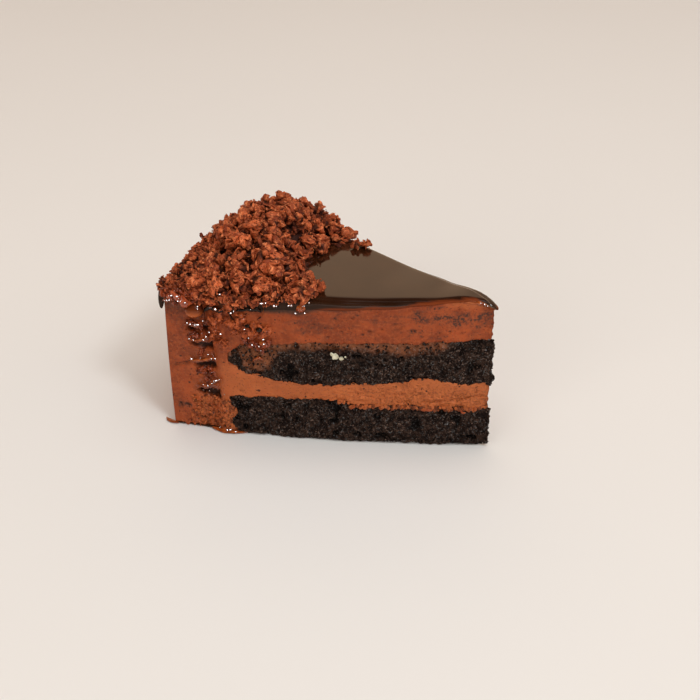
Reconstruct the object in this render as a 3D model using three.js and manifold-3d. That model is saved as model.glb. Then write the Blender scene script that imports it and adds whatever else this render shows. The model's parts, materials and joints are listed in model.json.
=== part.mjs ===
// A slice of chocolate mousse cake: one eighth of a round cake, standing on its underside.
// Two dark sponge layers lie in one poured mousse, which also closes the outer wall. A dark mirror glaze
// covers the top, and chocolate-coated wafer flakes are heaped on it along the outer edge.
// Millimetres, +Z up. The tip of the wedge points along +X and its middle line is the X axis. The origin is
// on the underside, on that line, half a cake radius from the tip.

import * as THREE from "three";
import { mergeVertices } from "three/addons/utils/BufferGeometryUtils.js";
import Module from "manifold-3d";

const wasm = await Module();
wasm.setup();

// ---- Driving dimensions ----

const CAKE_RADIUS = 103.6;
const HALF_ANGLE = Math.PI / 8;
const TIP_RADIUS = 1.2; // where the fan starts, so the tip is a millimetre wide and not a knife edge
const SPONGE_RADIUS = 83.5; // the sponges end inside the mousse wall
const SPONGE_TIP = 1.3; // how far crumb stands out past the mousse at the tip
const GAP = 0.3; // clearance between two pieces that touch

// Heights over the plate, by distance from the tip: [distance, height].
const BASE_SPONGE_ROOF = profile([[0, 13.6], [25, 14], [42, 13.6], [47, 15.2], [68, 14.7], [84, 13.4]]);
const TOP_SPONGE_FLOOR = profile([[0, 23.4], [8, 22.4], [20, 24], [36, 21.6], [55, 20.6], [68, 20.9], [77, 22.7], [84, 26]]);
const TOP_SPONGE_ROOF = profile([[0, 38.8], [14, 37.4], [30, 36.2], [55, 35.4], [70, 33.9], [79, 32.2], [84, 29.6]]);
const MOUSSE_ROOF = profile([[0, 48.6], [8, 51.2], [20, 50], [35, 48.2], [50, 47.2], [102, 46.8]]);
const GLAZE_ROOF = profile([[0, 50.4], [4, 52.2], [9, 53], [20, 52], [40, 51.2], [102, 50.8]]);

// How far the near cut wanders behind its plane: the knife bowed out a little, then tore back the mousse wall.
const NEAR_CUT = profile([[0, 0], [20, -0.8], [45, -0.8], [60, 0], [72, 1.2], [85, 2.6], [90, 5.6], [97, 6], [104, 7]]);
const TEAR_START = 85;
const TEAR_END = 91;
const WALL_LEAN = 1; // the outer wall stands out this much more at the top than at the foot

const SPONGE_CRAG = 1.0;
const MOUSSE_CRAG = 0.25;
const TEAR_CRAG = 1.5;

const GLAZE_EDGE = 1.5; // how far the glaze's upper edge is rounded off
const GLAZE_LIP = 1.5; // how far the glaze stands out past the mousse wall
const GLAZE_DRIP = 2.6; // how far its lip runs down that wall, on average

const HEAP_HEIGHT = 11.2; // the core's crown over the glaze
const HEAP_START = 60; // where the heap begins, from the tip
const FLAKE_STEP = 4.9; // from one row of flakes to the next
const FLAKE_SEED = 11;

// ---- Small helpers ----

function clamp01(v) {
  return Math.min(1, Math.max(0, v));
}

function smooth(from, to, v) {
  const t = clamp01((v - from) / (to - from));
  return t * t * (3 - 2 * t);
}

// A curve through a few [x, y] points, eased between them.
function profile(points) {
  return (x) => {
    const i = Math.min(points.length - 2, Math.max(0, points.findIndex((p) => p[0] > x) - 1));
    if (x >= points[points.length - 1][0]) return points[points.length - 1][1];
    const [x0, y0] = points[i];
    const [x1, y1] = points[i + 1];
    return y0 + (y1 - y0) * smooth(x0, x1, x);
  };
}

function hash(x, y, z) {
  const n = Math.sin(x * 127.1 + y * 311.7 + z * 74.7) * 43758.5453;
  return n - Math.floor(n);
}

// Value noise, 0 to 1, with one lump a unit.
function noise(x, y, z) {
  const [xi, yi, zi] = [Math.floor(x), Math.floor(y), Math.floor(z)];
  const [u, v, w] = [smooth(0, 1, x - xi), smooth(0, 1, y - yi), smooth(0, 1, z - zi)];
  let sum = 0;
  for (let k = 0; k < 8; k++) {
    const [a, b, c] = [k & 1, (k >> 1) & 1, (k >> 2) & 1];
    const weight = (a ? u : 1 - u) * (b ? v : 1 - v) * (c ? w : 1 - w);
    sum += weight * hash(xi + a, yi + b, zi + c);
  }
  return sum;
}

// A seeded random number generator, 0 to 1.
function random(seed) {
  let state = seed;
  return () => {
    state = (state * 1664525 + 1013904223) % 4294967296;
    return state / 4294967296;
  };
}

// ---- The fan: every layer lies between the two cuts and the outer wall ----

// The plan point at distance r from the tip: t is 0 on the near cut and 1 on the far cut, and overhang moves both
// cuts outwards.
function plan(r, t, overhang = 0) {
  const near = HALF_ANGLE - NEAR_CUT(r) / r;
  const angle = near - (near + HALF_ANGLE) * t;
  const out = t === 0 ? -overhang : t === 1 ? overhang : 0;
  return new THREE.Vector2(
    CAKE_RADIUS / 2 - r * Math.cos(angle) + Math.abs(out) * Math.sin(HALF_ANGLE),
    -r * Math.sin(angle) + out * Math.cos(HALF_ANGLE),
  );
}

function evenly(from, to, steps) {
  return Array.from({ length: steps + 1 }, (_, i) => from + ((to - from) * i) / steps);
}

// A closed solid on the fan. radii run from the tip outwards, across from the near cut to the far one, and levels
// from the floor to the roof. push(point, side) moves the skin of the walls outwards.
function fanSolid({ radii, across, levels, floor, roof, overhang = 0, push = () => 0 }) {
  const [ni, nj, nk] = [radii.length - 1, across.length - 1, levels.length - 1];
  const positions = [];
  const index = [];
  const known = new Map();

  const outward = (i, j) => {
    const inner = plan(radii[Math.max(0, i - 1)], across[j]);
    const outer = plan(radii[Math.min(ni, i + 1)], across[j]);
    const along = outer.sub(inner).normalize();
    const out = new THREE.Vector2();
    if (j === 0) out.add(new THREE.Vector2(along.y, -along.x));
    if (j === nj) out.add(new THREE.Vector2(-along.y, along.x));
    if (j === 0) out.multiplyScalar(Math.sign(-out.y) || 1);
    if (j === nj) out.multiplyScalar(Math.sign(out.y) || 1);
    if (i === 0) out.sub(along);
    if (i === ni) out.add(along);
    return out.normalize();
  };

  const vertex = (i, j, k) => {
    const key = (i * (nj + 1) + j) * (nk + 1) + k;
    if (known.has(key)) return known.get(key);
    const r = radii[i];
    const p = plan(r, across[j], overhang);
    const low = floor(r, across[j]);
    const z = low + (roof(r, across[j]) - low) * levels[k];
    if (i === 0 || i === ni || j === 0 || j === nj) {
      const side = i === ni ? "rim" : i === 0 ? "tip" : j === 0 ? "near" : "far";
      p.addScaledVector(outward(i, j), push({ x: p.x, y: p.y, z, r, level: levels[k] }, side));
    }
    known.set(key, positions.length / 3);
    positions.push(p.x, p.y, z);
    return known.get(key);
  };

  const quad = (a, b, c, d) => index.push(a, c, b, a, d, c);
  for (let i = 0; i < ni; i++)
    for (let j = 0; j < nj; j++) {
      quad(vertex(i, j, nk), vertex(i + 1, j, nk), vertex(i + 1, j + 1, nk), vertex(i, j + 1, nk));
      quad(vertex(i, j + 1, 0), vertex(i + 1, j + 1, 0), vertex(i + 1, j, 0), vertex(i, j, 0));
    }
  for (let k = 0; k < nk; k++) {
    for (let j = 0; j < nj; j++) {
      quad(vertex(ni, j, k), vertex(ni, j + 1, k), vertex(ni, j + 1, k + 1), vertex(ni, j, k + 1));
      quad(vertex(0, j, k + 1), vertex(0, j + 1, k + 1), vertex(0, j + 1, k), vertex(0, j, k));
    }
    for (let i = 0; i < ni; i++) {
      quad(vertex(i, nj, k), vertex(i, nj, k + 1), vertex(i + 1, nj, k + 1), vertex(i + 1, nj, k));
      quad(vertex(i + 1, 0, k), vertex(i + 1, 0, k + 1), vertex(i, 0, k + 1), vertex(i, 0, k));
    }
  }
  const geometry = new THREE.BufferGeometry();
  geometry.setAttribute("position", new THREE.Float32BufferAttribute(positions, 3));
  geometry.setIndex(index);
  return geometry;
}

function solid(geometry) {
  return new wasm.Manifold(
    new wasm.Mesh({
      numProp: 3,
      vertProperties: new Float32Array(geometry.attributes.position.array),
      triVerts: new Uint32Array(geometry.index.array),
    }),
  );
}

function geometryOf(manifold) {
  const mesh = manifold.getMesh();
  const geometry = new THREE.BufferGeometry();
  geometry.setAttribute("position", new THREE.BufferAttribute(mesh.vertProperties, 3));
  geometry.setIndex(new THREE.BufferAttribute(mesh.triVerts, 1));
  return geometry;
}

function largestBody(manifold) {
  return manifold.decompose().sort((a, b) => b.volume() - a.volume())[0];
}

// ---- Sponges: dark, open crumb that breaks up wherever the knife went ----

function crumb({ x, y, z }, side) {
  const rough = noise(x / 2.6, y / 2.6, z / 2.6) - 0.5 + 0.5 * (noise(x / 1.3 + 9, y / 1.3, z / 1.3) - 0.5);
  if (side === "rim") return -SPONGE_CRAG * Math.abs(rough);
  if (side === "tip") return SPONGE_TIP + 2.4 * rough;
  return SPONGE_CRAG * (rough - 0.1);
}

const SPONGE_RADII = evenly(TIP_RADIUS, SPONGE_RADIUS, 30);
const SPONGE_ACROSS = evenly(0, 1, 4);

function sponge(floor, roof, rows) {
  return fanSolid({
    radii: SPONGE_RADII,
    across: SPONGE_ACROSS,
    levels: evenly(0, 1, rows),
    floor,
    roof,
    push: crumb,
  });
}

const baseSponge = sponge(() => 0, BASE_SPONGE_ROOF, 5);

// A chip of nut baked into the top sponge, that the near cut laid bare.
function nutChip() {
  const at = plan(49, 0, 0.1);
  return flake(new THREE.Vector3(at.x, at.y, 31), 1.5, random(3), [0.4, -0.4, -HALF_ANGLE]);
}

const topSponge = solid(sponge(TOP_SPONGE_FLOOR, TOP_SPONGE_ROOF, 6)).add(nutChip());

// ---- Mousse: one pour that fills between and over the sponges and makes the outer wall ----

function mousseSkin({ x, y, z, r }, side) {
  const soft = MOUSSE_CRAG * (noise(x / 5, y / 5, z / 3) - 0.5);
  if (side === "rim") return soft + WALL_LEAN * (z / 48 - 0.5);
  if (side !== "near") return soft;
  const torn = smooth(TEAR_START - 1, TEAR_START + 1, r) * (1 - smooth(TEAR_END + 2, TEAR_END + 6, r));
  const ledge = 0.6 - 1.3 * smooth(0.35, 0.65, noise(1.5, r / 9, z / 5.5));
  return soft + torn * TEAR_CRAG * ledge;
}

// The room for a sponge: its own form, grown by the gap and run out past both cuts and the tip.
function pocket(floor, roof) {
  return solid(
    fanSolid({
      radii: [0.2, ...SPONGE_RADII.slice(1, -1), SPONGE_RADIUS + GAP],
      across: SPONGE_ACROSS,
      levels: [0, 1],
      floor: (r) => floor(r) - GAP,
      roof: (r) => roof(r) + GAP,
      overhang: 2,
    }),
  );
}

const mousse = solid(
  fanSolid({
    radii: [...evenly(TIP_RADIUS, 81, 14), ...evenly(84.5, 92, 4), 95.5, 99.5, CAKE_RADIUS - 0.8, CAKE_RADIUS],
    across: evenly(0, 1, 7),
    levels: evenly(0, 1, 13),
    floor: () => 0,
    roof: MOUSSE_ROOF,
    push: mousseSkin,
  }),
)
  .subtract(pocket(() => -GAP, BASE_SPONGE_ROOF))
  .subtract(pocket(TOP_SPONGE_FLOOR, TOP_SPONGE_ROOF));

// ---- Glaze: set over the mousse, with a rounded upper edge and a lip that runs down the outer wall ----

const WALL_FACE = CAKE_RADIUS + GAP + MOUSSE_CRAG / 2 + WALL_LEAN / 2;
const GLAZE_RADII = [
  ...[TIP_RADIUS - 0.9, 2, 4, 7, 11],
  ...evenly(16, 96, 12),
  ...[100.5, WALL_FACE, WALL_FACE + 0.1, WALL_FACE + 0.9, WALL_FACE + GLAZE_LIP],
];

const GLAZE_ACROSS = [0, 0.03, 0.09, 0.25, 0.5, 0.75, 0.91, 0.97, 1];

function glazeRoof(r, t) {
  const edge = Math.min(t, 1 - t) * 2 * HALF_ANGLE * r;
  const rounding = 1 - smooth(0, GLAZE_EDGE * 1.6, edge);
  const rim = smooth(WALL_FACE - 3, WALL_FACE + GLAZE_LIP, r);
  return GLAZE_ROOF(r) - GLAZE_EDGE * rounding * 0.55 - 2.4 * rim;
}

function glazeFloor(r, t) {
  if (r <= WALL_FACE) return MOUSSE_ROOF(r) + GAP;
  const run = GLAZE_DRIP * (0.35 + 1.3 * noise(t * 9, 3, 7));
  return MOUSSE_ROOF(r) - run * (r > WALL_FACE + 0.9 ? 0.75 : 1);
}

function glazeEdge({ level, r }, side) {
  const bulge = (side === "far" ? 1.5 : 0.5) * Math.sin(Math.PI * level) - (level > 0.9 ? 0.7 : 0);
  const tipRun = 1.3 * (1 - smooth(0, 9, r));
  return side === "rim" ? 0.3 * Math.sin(Math.PI * level) : bulge + tipRun * smooth(0, 0.6, level);
}

const glaze = fanSolid({
  radii: GLAZE_RADII,
  across: GLAZE_ACROSS,
  levels: [0, 0.35, 0.75, 1],
  floor: glazeFloor,
  roof: glazeRoof,
  push: glazeEdge,
});

// ---- Flakes: crushed wafer coated in chocolate, heaped along the outer edge ----

// One flake: a chip with a broken, faceted skin. turn fixes its pose, or it is drawn.
function flake(at, size, pick, turn) {
  const ball = new THREE.IcosahedronGeometry(1, 0);
  ball.deleteAttribute("normal");
  ball.deleteAttribute("uv");
  const geometry = mergeVertices(ball);
  const spin = turn ? new THREE.Euler(...turn) : new THREE.Euler(6.28 * pick(), 6.28 * pick(), 6.28 * pick());
  const shape = new THREE.Vector3(1 + 0.5 * pick(), 0.75 + 0.4 * pick(), 0.4 + 0.35 * pick()).multiplyScalar(size);
  const place = new THREE.Matrix4().makeRotationFromEuler(spin).setPosition(at);
  const p = geometry.attributes.position;
  for (let n = 0; n < p.count; n++) {
    const v = new THREE.Vector3().fromBufferAttribute(p, n);
    v.multiplyScalar(0.72 + 0.5 * pick()).multiply(shape).applyMatrix4(place);
    p.setXYZ(n, v.x, v.y, v.z);
  }
  return solid(geometry);
}

// Where the heap's inner edge lies, from the tip: nearer to it on the near cut than on the far one.
function heapStart(t) {
  return HEAP_START - 4 + 9 * smooth(0, 0.6, t);
}

// Height of the heap's core over the glaze: a mound that falls off towards the rim and both cuts.
function mound(r, t) {
  const start = heapStart(t);
  const crest = 78 + 9 * smooth(0.15, 0.6, t);
  const run = smooth(start - 1, start + 17, r) * (1 - 0.88 * smooth(crest, crest + 18, r));
  const sides = smooth(-0.1, 0.45, t) * (1 - 0.8 * smooth(0.65, 1.05, t));
  return 0.4 + HEAP_HEIGHT * run * (0.12 + 0.88 * sides);
}

const core = solid(
  fanSolid({
    radii: evenly(HEAP_START + 4, CAKE_RADIUS - 2, 9),
    across: evenly(0.015, 0.985, 8),
    levels: [0, 1],
    floor: (r) => GLAZE_ROOF(r) - 2,
    roof: (r, t) => GLAZE_ROOF(r) + mound(r, t),
  }),
);

// What the flakes may not enter: the glaze and all that is under it, grown by the gap.
const below = solid(
  fanSolid({
    radii: [...GLAZE_RADII.slice(5, -1), WALL_FACE + GLAZE_LIP + GAP + 0.3],
    across: GLAZE_ACROSS,
    levels: [0, 1],
    floor: () => -5,
    roof: (r) => GLAZE_ROOF(r) + GAP,
    overhang: GAP + 1,
  }),
);

// Flakes that cover the mound, row by row outwards, in a jittered pattern.
function heapFlakes() {
  const pick = random(FLAKE_SEED);
  const flakes = [];
  for (let r = HEAP_START - 4; r < CAKE_RADIUS + 1; r += FLAKE_STEP) {
    const count = Math.round((2 * HALF_ANGLE * r) / (FLAKE_STEP + 1));
    for (let n = 0; n <= count; n++) {
      const t = Math.min(0.97, Math.max(0.03, (n + 0.6 * (pick() - 0.5)) / count));
      if (r < heapStart(t)) continue;
      const rr = Math.min(r + 3 * (pick() - 0.5), CAKE_RADIUS - 0.5);
      const size = pick() < 0.4 ? 3 + 1.2 * pick() : 2.1 + 0.9 * pick();
      const lift = 0.3 + 1.7 * pick() * (1 - smooth(92, CAKE_RADIUS, rr));
      const at = plan(rr, t);
      flakes.push(flake(new THREE.Vector3(at.x, at.y, GLAZE_ROOF(rr) + mound(rr, t) + lift), size, pick));
    }
  }
  return flakes;
}

// Flakes that have slid over the near cut and hang on its edge.
function overhangFlakes() {
  const pick = random(FLAKE_SEED + 1);
  return evenly(59, 101, 12).map((r) => {
    const at = plan(r, 0, 0.4 + 0.9 * pick());
    const z = GLAZE_ROOF(r) + 1.2 - 2.2 * pick();
    return flake(new THREE.Vector3(at.x, at.y, z), 3.2 + pick(), pick);
  });
}

const heap = largestBody(wasm.Manifold.union([core, ...heapFlakes(), ...overhangFlakes()]).subtract(below));

// Flakes stuck in the glaze beside the heap: one near the front cut and one on the far edge.
function strayFlake(r, t, size, seed) {
  const at = plan(r, t);
  return flake(new THREE.Vector3(at.x, at.y, GLAZE_ROOF(r) + size * 0.4), size, random(seed), [1.2, 0.2, seed]);
}

const topping = solid(glaze)
  .add(strayFlake(54, 0.15, 2.7, 5))
  .add(strayFlake(57, 0.96, 2.1, 8));

// ---- The slice ----

function piece(name, geometry, color, roughness) {
  const mesh = new THREE.Mesh(geometry, new THREE.MeshStandardMaterial({ color, roughness, metalness: 0 }));
  mesh.name = name;
  return mesh;
}

const slice = new THREE.Group();
slice.add(piece("sponge_base", baseSponge, 0x2c1f1a, 0.9));
slice.add(piece("sponge_top", geometryOf(topSponge), 0x2e241e, 0.85));
slice.add(piece("mousse", geometryOf(mousse), 0x995033, 0.6));
slice.add(piece("glaze", geometryOf(topping), 0x2a1a12, 0.08));
slice.add(piece("flake_heap", geometryOf(heap), 0x84391f, 0.7));

export default slice;
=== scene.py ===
"""A slice of chocolate mousse cake: one eighth of a round cake, standing on its underside, tip towards +X."""

import math

import bmesh
import bpy
import numpy as np
from mathutils import Matrix, Vector
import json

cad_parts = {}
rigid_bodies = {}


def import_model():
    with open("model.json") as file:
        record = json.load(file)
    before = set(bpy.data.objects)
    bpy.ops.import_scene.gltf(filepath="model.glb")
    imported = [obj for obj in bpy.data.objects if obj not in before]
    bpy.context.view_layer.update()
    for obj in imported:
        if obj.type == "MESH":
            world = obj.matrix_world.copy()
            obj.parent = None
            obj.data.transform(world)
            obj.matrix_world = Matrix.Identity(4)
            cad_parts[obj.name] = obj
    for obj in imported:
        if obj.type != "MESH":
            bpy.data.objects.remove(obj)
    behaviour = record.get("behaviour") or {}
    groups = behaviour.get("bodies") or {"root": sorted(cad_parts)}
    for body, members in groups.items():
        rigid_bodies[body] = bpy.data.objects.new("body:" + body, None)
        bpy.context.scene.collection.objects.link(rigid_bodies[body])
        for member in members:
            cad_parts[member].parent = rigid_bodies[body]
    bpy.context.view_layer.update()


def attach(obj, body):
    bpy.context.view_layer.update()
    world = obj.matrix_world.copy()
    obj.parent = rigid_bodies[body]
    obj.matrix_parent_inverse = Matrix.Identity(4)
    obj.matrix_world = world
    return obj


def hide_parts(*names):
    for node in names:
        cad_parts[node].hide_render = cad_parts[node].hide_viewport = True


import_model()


# ---- Base sponge ----
# The bottom layer is a thin round of dark chocolate sponge, moist and nearly black. It was baked flat and cut
# with the cake, so its open crumb shows on both cuts and breaks up along its edges and at the tip.

# Sizes are in millimetres until a mesh is made. Plan positions are given by r, the distance from the tip, and
# t, which is 0 on the near cut and 1 on the far one.
CAKE_RADIUS = 103.6
HALF_ANGLE = math.pi / 8
TIP_RADIUS = 1.2
SPONGE_RADIUS = 83.5


def eased(*points):
    """A height along r through a few [r, height] points, eased between them."""
    xs, ys = np.array(points, float).T

    def height(x):
        x = np.clip(np.asarray(x, float), xs[0], xs[-1])
        i = np.clip(np.searchsorted(xs, x, side="right") - 1, 0, len(xs) - 2)
        t = (x - xs[i]) / (xs[i + 1] - xs[i])
        return ys[i] + (ys[i + 1] - ys[i]) * t * t * (3 - 2 * t)

    return height


def rise(low, high, x):
    """0 up to low, 1 from high on, and eased between them."""
    t = np.clip((np.asarray(x, float) - low) / (high - low), 0, 1)
    return t * t * (3 - 2 * t)


def fall(low, high, x):
    return 1 - rise(low, high, x)


def band(x, start, full, ebb, end):
    """1 from full to ebb, eased down to 0 at start and at end."""
    return rise(start, full, x) * fall(ebb, end, x)


NEAR_CUT = eased(
    (0, 0), (20, -0.8), (45, -0.8), (60, 0), (72, 1.2), (85, 2.6), (90, 5.6), (97, 6), (104, 7),
)
BASE_ROOF = eased((0, 13.6), (25, 14), (42, 13.6), (47, 15.2), (68, 14.7), (84, 13.4))


def plan(r, t):
    """The plan position at r from the tip: the near cut strays a little from a straight line."""
    r = np.asarray(r, float)
    near = HALF_ANGLE - NEAR_CUT(r) / np.maximum(r, 0.01)
    angle = near - (near + HALF_ANGLE) * t
    return np.stack([CAKE_RADIUS / 2 - r * np.cos(angle), -r * np.sin(angle)], -1)


def outward(t):
    """The way out of the near cut (t 0) or of the far one (t 1)."""
    return np.array([math.sin(HALF_ANGLE), math.cos(HALF_ANGLE) * (2 * t - 1), 0])


def drawn(cell, seed):
    """A number from 0 to 1 for each whole-number cell."""
    x, y, z = (cell[..., k].astype(np.int64).astype(np.uint32) for k in range(3))
    h = x * np.uint32(374761393) + y * np.uint32(668265263) + z * np.uint32(2246822519)
    h = h + np.uint32((seed * 3266489917) & 0xFFFFFFFF)
    h = (h ^ (h >> np.uint32(13))) * np.uint32(1274126177)
    return ((h ^ (h >> np.uint32(16))) & np.uint32(0xFFFFFF)) / float(0x1000000)


def lumps(p, size, seed=0):
    """Soft unevenness from -1 to 1, with about one lump in each cube of this size."""
    p = np.asarray(p, float) / size
    cell = np.floor(p)
    f = p - cell
    f = f * f * (3 - 2 * f)
    total = 0.0
    for k in range(8):
        corner = np.array([k & 1, k >> 1 & 1, k >> 2])
        total = total + np.prod(np.where(corner == 1, f, 1 - f), axis=-1) * drawn(cell + corner, seed)
    return 2 * total - 1


def grains(p, size, seed=0):
    """Distance to the nearest grain's heart: 0 there, and about 1 between grains of this size."""
    p = np.asarray(p, float) / size
    cell = np.floor(p)
    best = np.full(p.shape[:-1], 9.0)
    for k in range(27):
        c = cell + np.array([k % 3, k // 3 % 3, k // 9]) - 1
        heart = c + np.stack([drawn(c, seed), drawn(c, seed + 1), drawn(c, seed + 2)], -1)
        best = np.minimum(best, ((p - heart) ** 2).sum(-1))
    return np.sqrt(best)


def face_out(bm):
    """Turns each closed part of a mesh the right way out, judged by its own volume."""
    bmesh.ops.recalc_face_normals(bm, faces=bm.faces)
    left = set(bm.faces)
    while left:
        part, front = [], [left.pop()]
        while front:
            part.append(front.pop())
            beside = {f for e in part[-1].edges for f in e.link_faces} & left
            left -= beside
            front += beside
        hearts = np.array([f.calc_center_median() for f in part])
        away = np.array([f.normal * f.calc_area() for f in part])
        if ((hearts - hearts.mean(0)) * away).sum() < 0:
            bmesh.ops.reverse_faces(bm, faces=part)


def piece_from(name, verts_mm, faces, smooth=True):
    """A mesh object at the origin from vertices in millimetres, closed and facing out."""
    mesh = bpy.data.meshes.new(name)
    mesh.from_pydata((np.asarray(verts_mm) * 0.001).tolist(), [], faces)
    bm = bmesh.new()
    bm.from_mesh(mesh)
    bmesh.ops.delete(bm, geom=[v for v in bm.verts if not v.link_faces], context="VERTS")
    face_out(bm)
    bm.to_mesh(mesh)
    bm.free()
    mesh.shade_smooth() if smooth else mesh.shade_flat()
    made = bpy.data.objects.new(name, mesh)
    bpy.context.collection.objects.link(made)
    return made


def over(r, t, heights):
    """Places at these heights over the plan position of each r, t."""
    flat = np.repeat(plan(r, t)[..., None, :], heights.shape[-1], -2)
    return np.concatenate([flat, heights[..., None]], -1)


def wedge_layer(name, r, near_z, far_z, filled, relief, rounds):
    """A closed layer from the near cut to the far one. filled says which (r, z) cells hold food, relief moves
    the cut faces, and rounds gives the columns of r that end in a curved wall, with the steps round it."""
    ni, nk = filled.shape
    points = []
    for t, z in ((0, near_z), (1, far_z)):
        p = over(r, t, z)
        points.append((p + relief(p, t, r[:, None])).reshape(-1, 3))
    near = np.arange((ni + 1) * (nk + 1)).reshape(ni + 1, nk + 1)
    far = near + near.size
    count = 2 * near.size
    walls = {}
    for c, (steps, swell) in rounds.items():
        rows = [near[c]]
        for t in np.arange(1, steps) / steps:
            p = over(r[c], t, near_z[c] * (1 - t) + far_z[c] * t)
            away = np.append(plan(r[c] + 1, t) - plan(r[c], t), 0)
            points.append(p + swell(p, t)[:, None] * away)
            rows.append(np.arange(count, count + nk + 1))
            count += nk + 1
        walls[c] = np.array(rows + [far[c]])

    i, k = np.nonzero(filled)
    faces = np.stack([near[i, k], near[i + 1, k], near[i + 1, k + 1], near[i, k + 1]], -1).tolist()
    faces += np.stack([far[i, k], far[i, k + 1], far[i + 1, k + 1], far[i + 1, k]], -1).tolist()
    padded = np.pad(filled, 1)
    upright = padded[1:, 1:-1] != padded[:-1, 1:-1]  # (ni + 1, nk)
    level = padded[1:-1, 1:] != padded[1:-1, :-1]  # (ni, nk + 1)
    for c, k in zip(*np.nonzero(upright)):
        w = walls[c]
        faces += np.stack([w[:-1, k], w[1:, k], w[1:, k + 1], w[:-1, k + 1]], -1).tolist()
    ends = np.pad(upright, ((0, 0), (1, 1)))
    met = ends[:, 1:] | ends[:, :-1]  # a curved wall meets this level
    for i, k in zip(*np.nonzero(level)):
        loop = [near[i, k], near[i + 1, k]]
        loop += walls[i + 1][1:-1, k].tolist() if met[i + 1, k] else []
        loop += [far[i + 1, k], far[i, k]]
        loop += walls[i][-2:0:-1, k].tolist() if met[i, k] else []
        faces.append([int(v) for v in loop])
    return piece_from(name, np.concatenate(points), faces)


def rows_between(lines, counts):
    """Heights of the rows between several lines over r, with this many rows from one line to the next."""
    columns = [lines[0][:, None]]
    for low, high, n in zip(lines, lines[1:], counts):
        f = np.arange(1, n + 1) / n
        columns.append(low[:, None] + (high - low)[:, None] * f)
    return np.concatenate(columns, 1)


def on_line(r, seed):
    """Places along a straight line, for a pattern that only changes with r."""
    return np.stack([r, np.full_like(r, seed * 7.3, dtype=float), np.zeros_like(r, dtype=float)], -1)


def crumbly(height, r, seed):
    """A layer's edge line, broken up by crumbs of three sizes that have torn away."""
    line = on_line(r, seed)
    torn_off = ((0.45, 3.1, 0), (0.36, 1.2, 5), (0.2, 0.6, 7))
    return sum((depth * lumps(line, size, seed + more) for depth, size, more in torn_off), height(r))


def torn_crumb(p, t, r, seed=0):
    """How the knife left the crumb: coarse grains, small holes and a ragged tip."""
    face = 0.85 * (0.5 - grains(p, 1.6, seed + 3)) + 0.3 * (0.5 - grains(p, 0.85, seed + 11))
    face += 0.35 * lumps(p, 5.5, seed + 21) - 1.0 * rise(0.3, 0.75, lumps(p, 2.4, seed + 31))
    moved = face[..., None] * outward(t)
    tip = p * [0, 1, 1]
    ragged = 1.2 + 0.65 * lumps(tip, 2.6, seed + 41)
    ragged += 0.6 * lumps(tip, 1.1, seed + 43) + 0.35 * lumps(tip, 0.6, seed + 45)
    moved[..., 0] += ragged * np.exp(-(r - TIP_RADIUS) / 1.3)
    moved[..., 0] -= 1.9 * np.exp(-((p[..., 2] / 1.3) ** 2) - (r - TIP_RADIUS) / 3)
    return moved


def no_swell(p, t):
    return np.zeros(len(p))


SPONGE_R = np.linspace(TIP_RADIUS, SPONGE_RADIUS, 320)
BASE_SEED, BASE_ROWS = 1, 54
TIP_STEPS, END_STEPS = 4, 24  # round the tip and round a sponge's curved end


def sponge_layer(name, floor, roof, rows, seed):
    heights = []
    for side in (0, 1):
        low = crumbly(floor, SPONGE_R, seed + side) if floor else np.zeros_like(SPONGE_R)
        heights.append(rows_between([low, crumbly(roof, SPONGE_R, seed + side + 2)], [rows]))
    columns = len(SPONGE_R) - 1
    return wedge_layer(
        name, SPONGE_R, *heights, np.ones((columns, rows), bool), lambda p, t, r: torn_crumb(p, t, r, seed),
        {0: (TIP_STEPS, no_swell), columns: (END_STEPS, no_swell)},
    )


base_sponge = sponge_layer("base_sponge", None, BASE_ROOF, BASE_ROWS, BASE_SEED)


def feed(node, inputs):
    """Gives a node's inputs a value each, or joins them to another node's output."""
    for name, value in inputs.items():
        if isinstance(value, bpy.types.NodeSocket):
            node.id_data.links.new(value, node.inputs[name])
        else:
            node.inputs[name].default_value = value
    return node


def added(tree, kind, inputs, **settings):
    made = tree.nodes.new(kind)
    for name, value in settings.items():
        setattr(made, name, value)
    return feed(made, inputs)


def surface(name):
    """A new material, its node tree and its shader."""
    made = bpy.data.materials.new(name)
    made.use_nodes = True
    return made, made.node_tree, made.node_tree.nodes["Principled BSDF"]


def lumpy(tree, size_mm, detail=2.0, rough=0.6, shift=0.0, texture="ShaderNodeTexNoise"):
    """A noise or cell pattern on object coordinates, with features of this size."""
    where = added(tree, "ShaderNodeTexCoord", {}).outputs["Object"]
    place = (shift, shift * 0.7, shift * 1.3)
    moved = added(tree, "ShaderNodeMapping", {"Vector": where, "Location": place}).outputs["Vector"]
    look = {"Vector": moved, "Scale": 1000 / size_mm, "Detail": detail, "Roughness": rough}
    return added(tree, texture, look).outputs["Distance" if texture == "ShaderNodeTexVoronoi" else 0]


def spread(value, low, high, to_low=0.0, to_high=1.0):
    given = {"Value": value, "From Min": low, "From Max": high, "To Min": to_low, "To Max": to_high}
    made = added(value.id_data, "ShaderNodeMapRange", given, interpolation_type="SMOOTHSTEP")
    return made.outputs["Result"]


def combined(how, first, second, clamp=False):
    made = added(first.id_data, "ShaderNodeMath", {0: first, 1: second}, operation=how, use_clamp=clamp)
    return made.outputs[0]


def blended(share, first, second):
    """A colour between two, each given as red, green and blue or as an output."""
    ends = [c if isinstance(c, bpy.types.NodeSocket) else (*c, 1) for c in (first, second)]
    made = added(share.id_data, "ShaderNodeMix", {0: share, 6: ends[0], 7: ends[1]}, data_type="RGBA")
    return made.outputs[2]


def layered(tone, *coats):
    """A colour under several coats, each given by how much of it shows and its own colour."""
    for share, colour in coats:
        tone = blended(share, tone, colour)
    return tone


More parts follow.
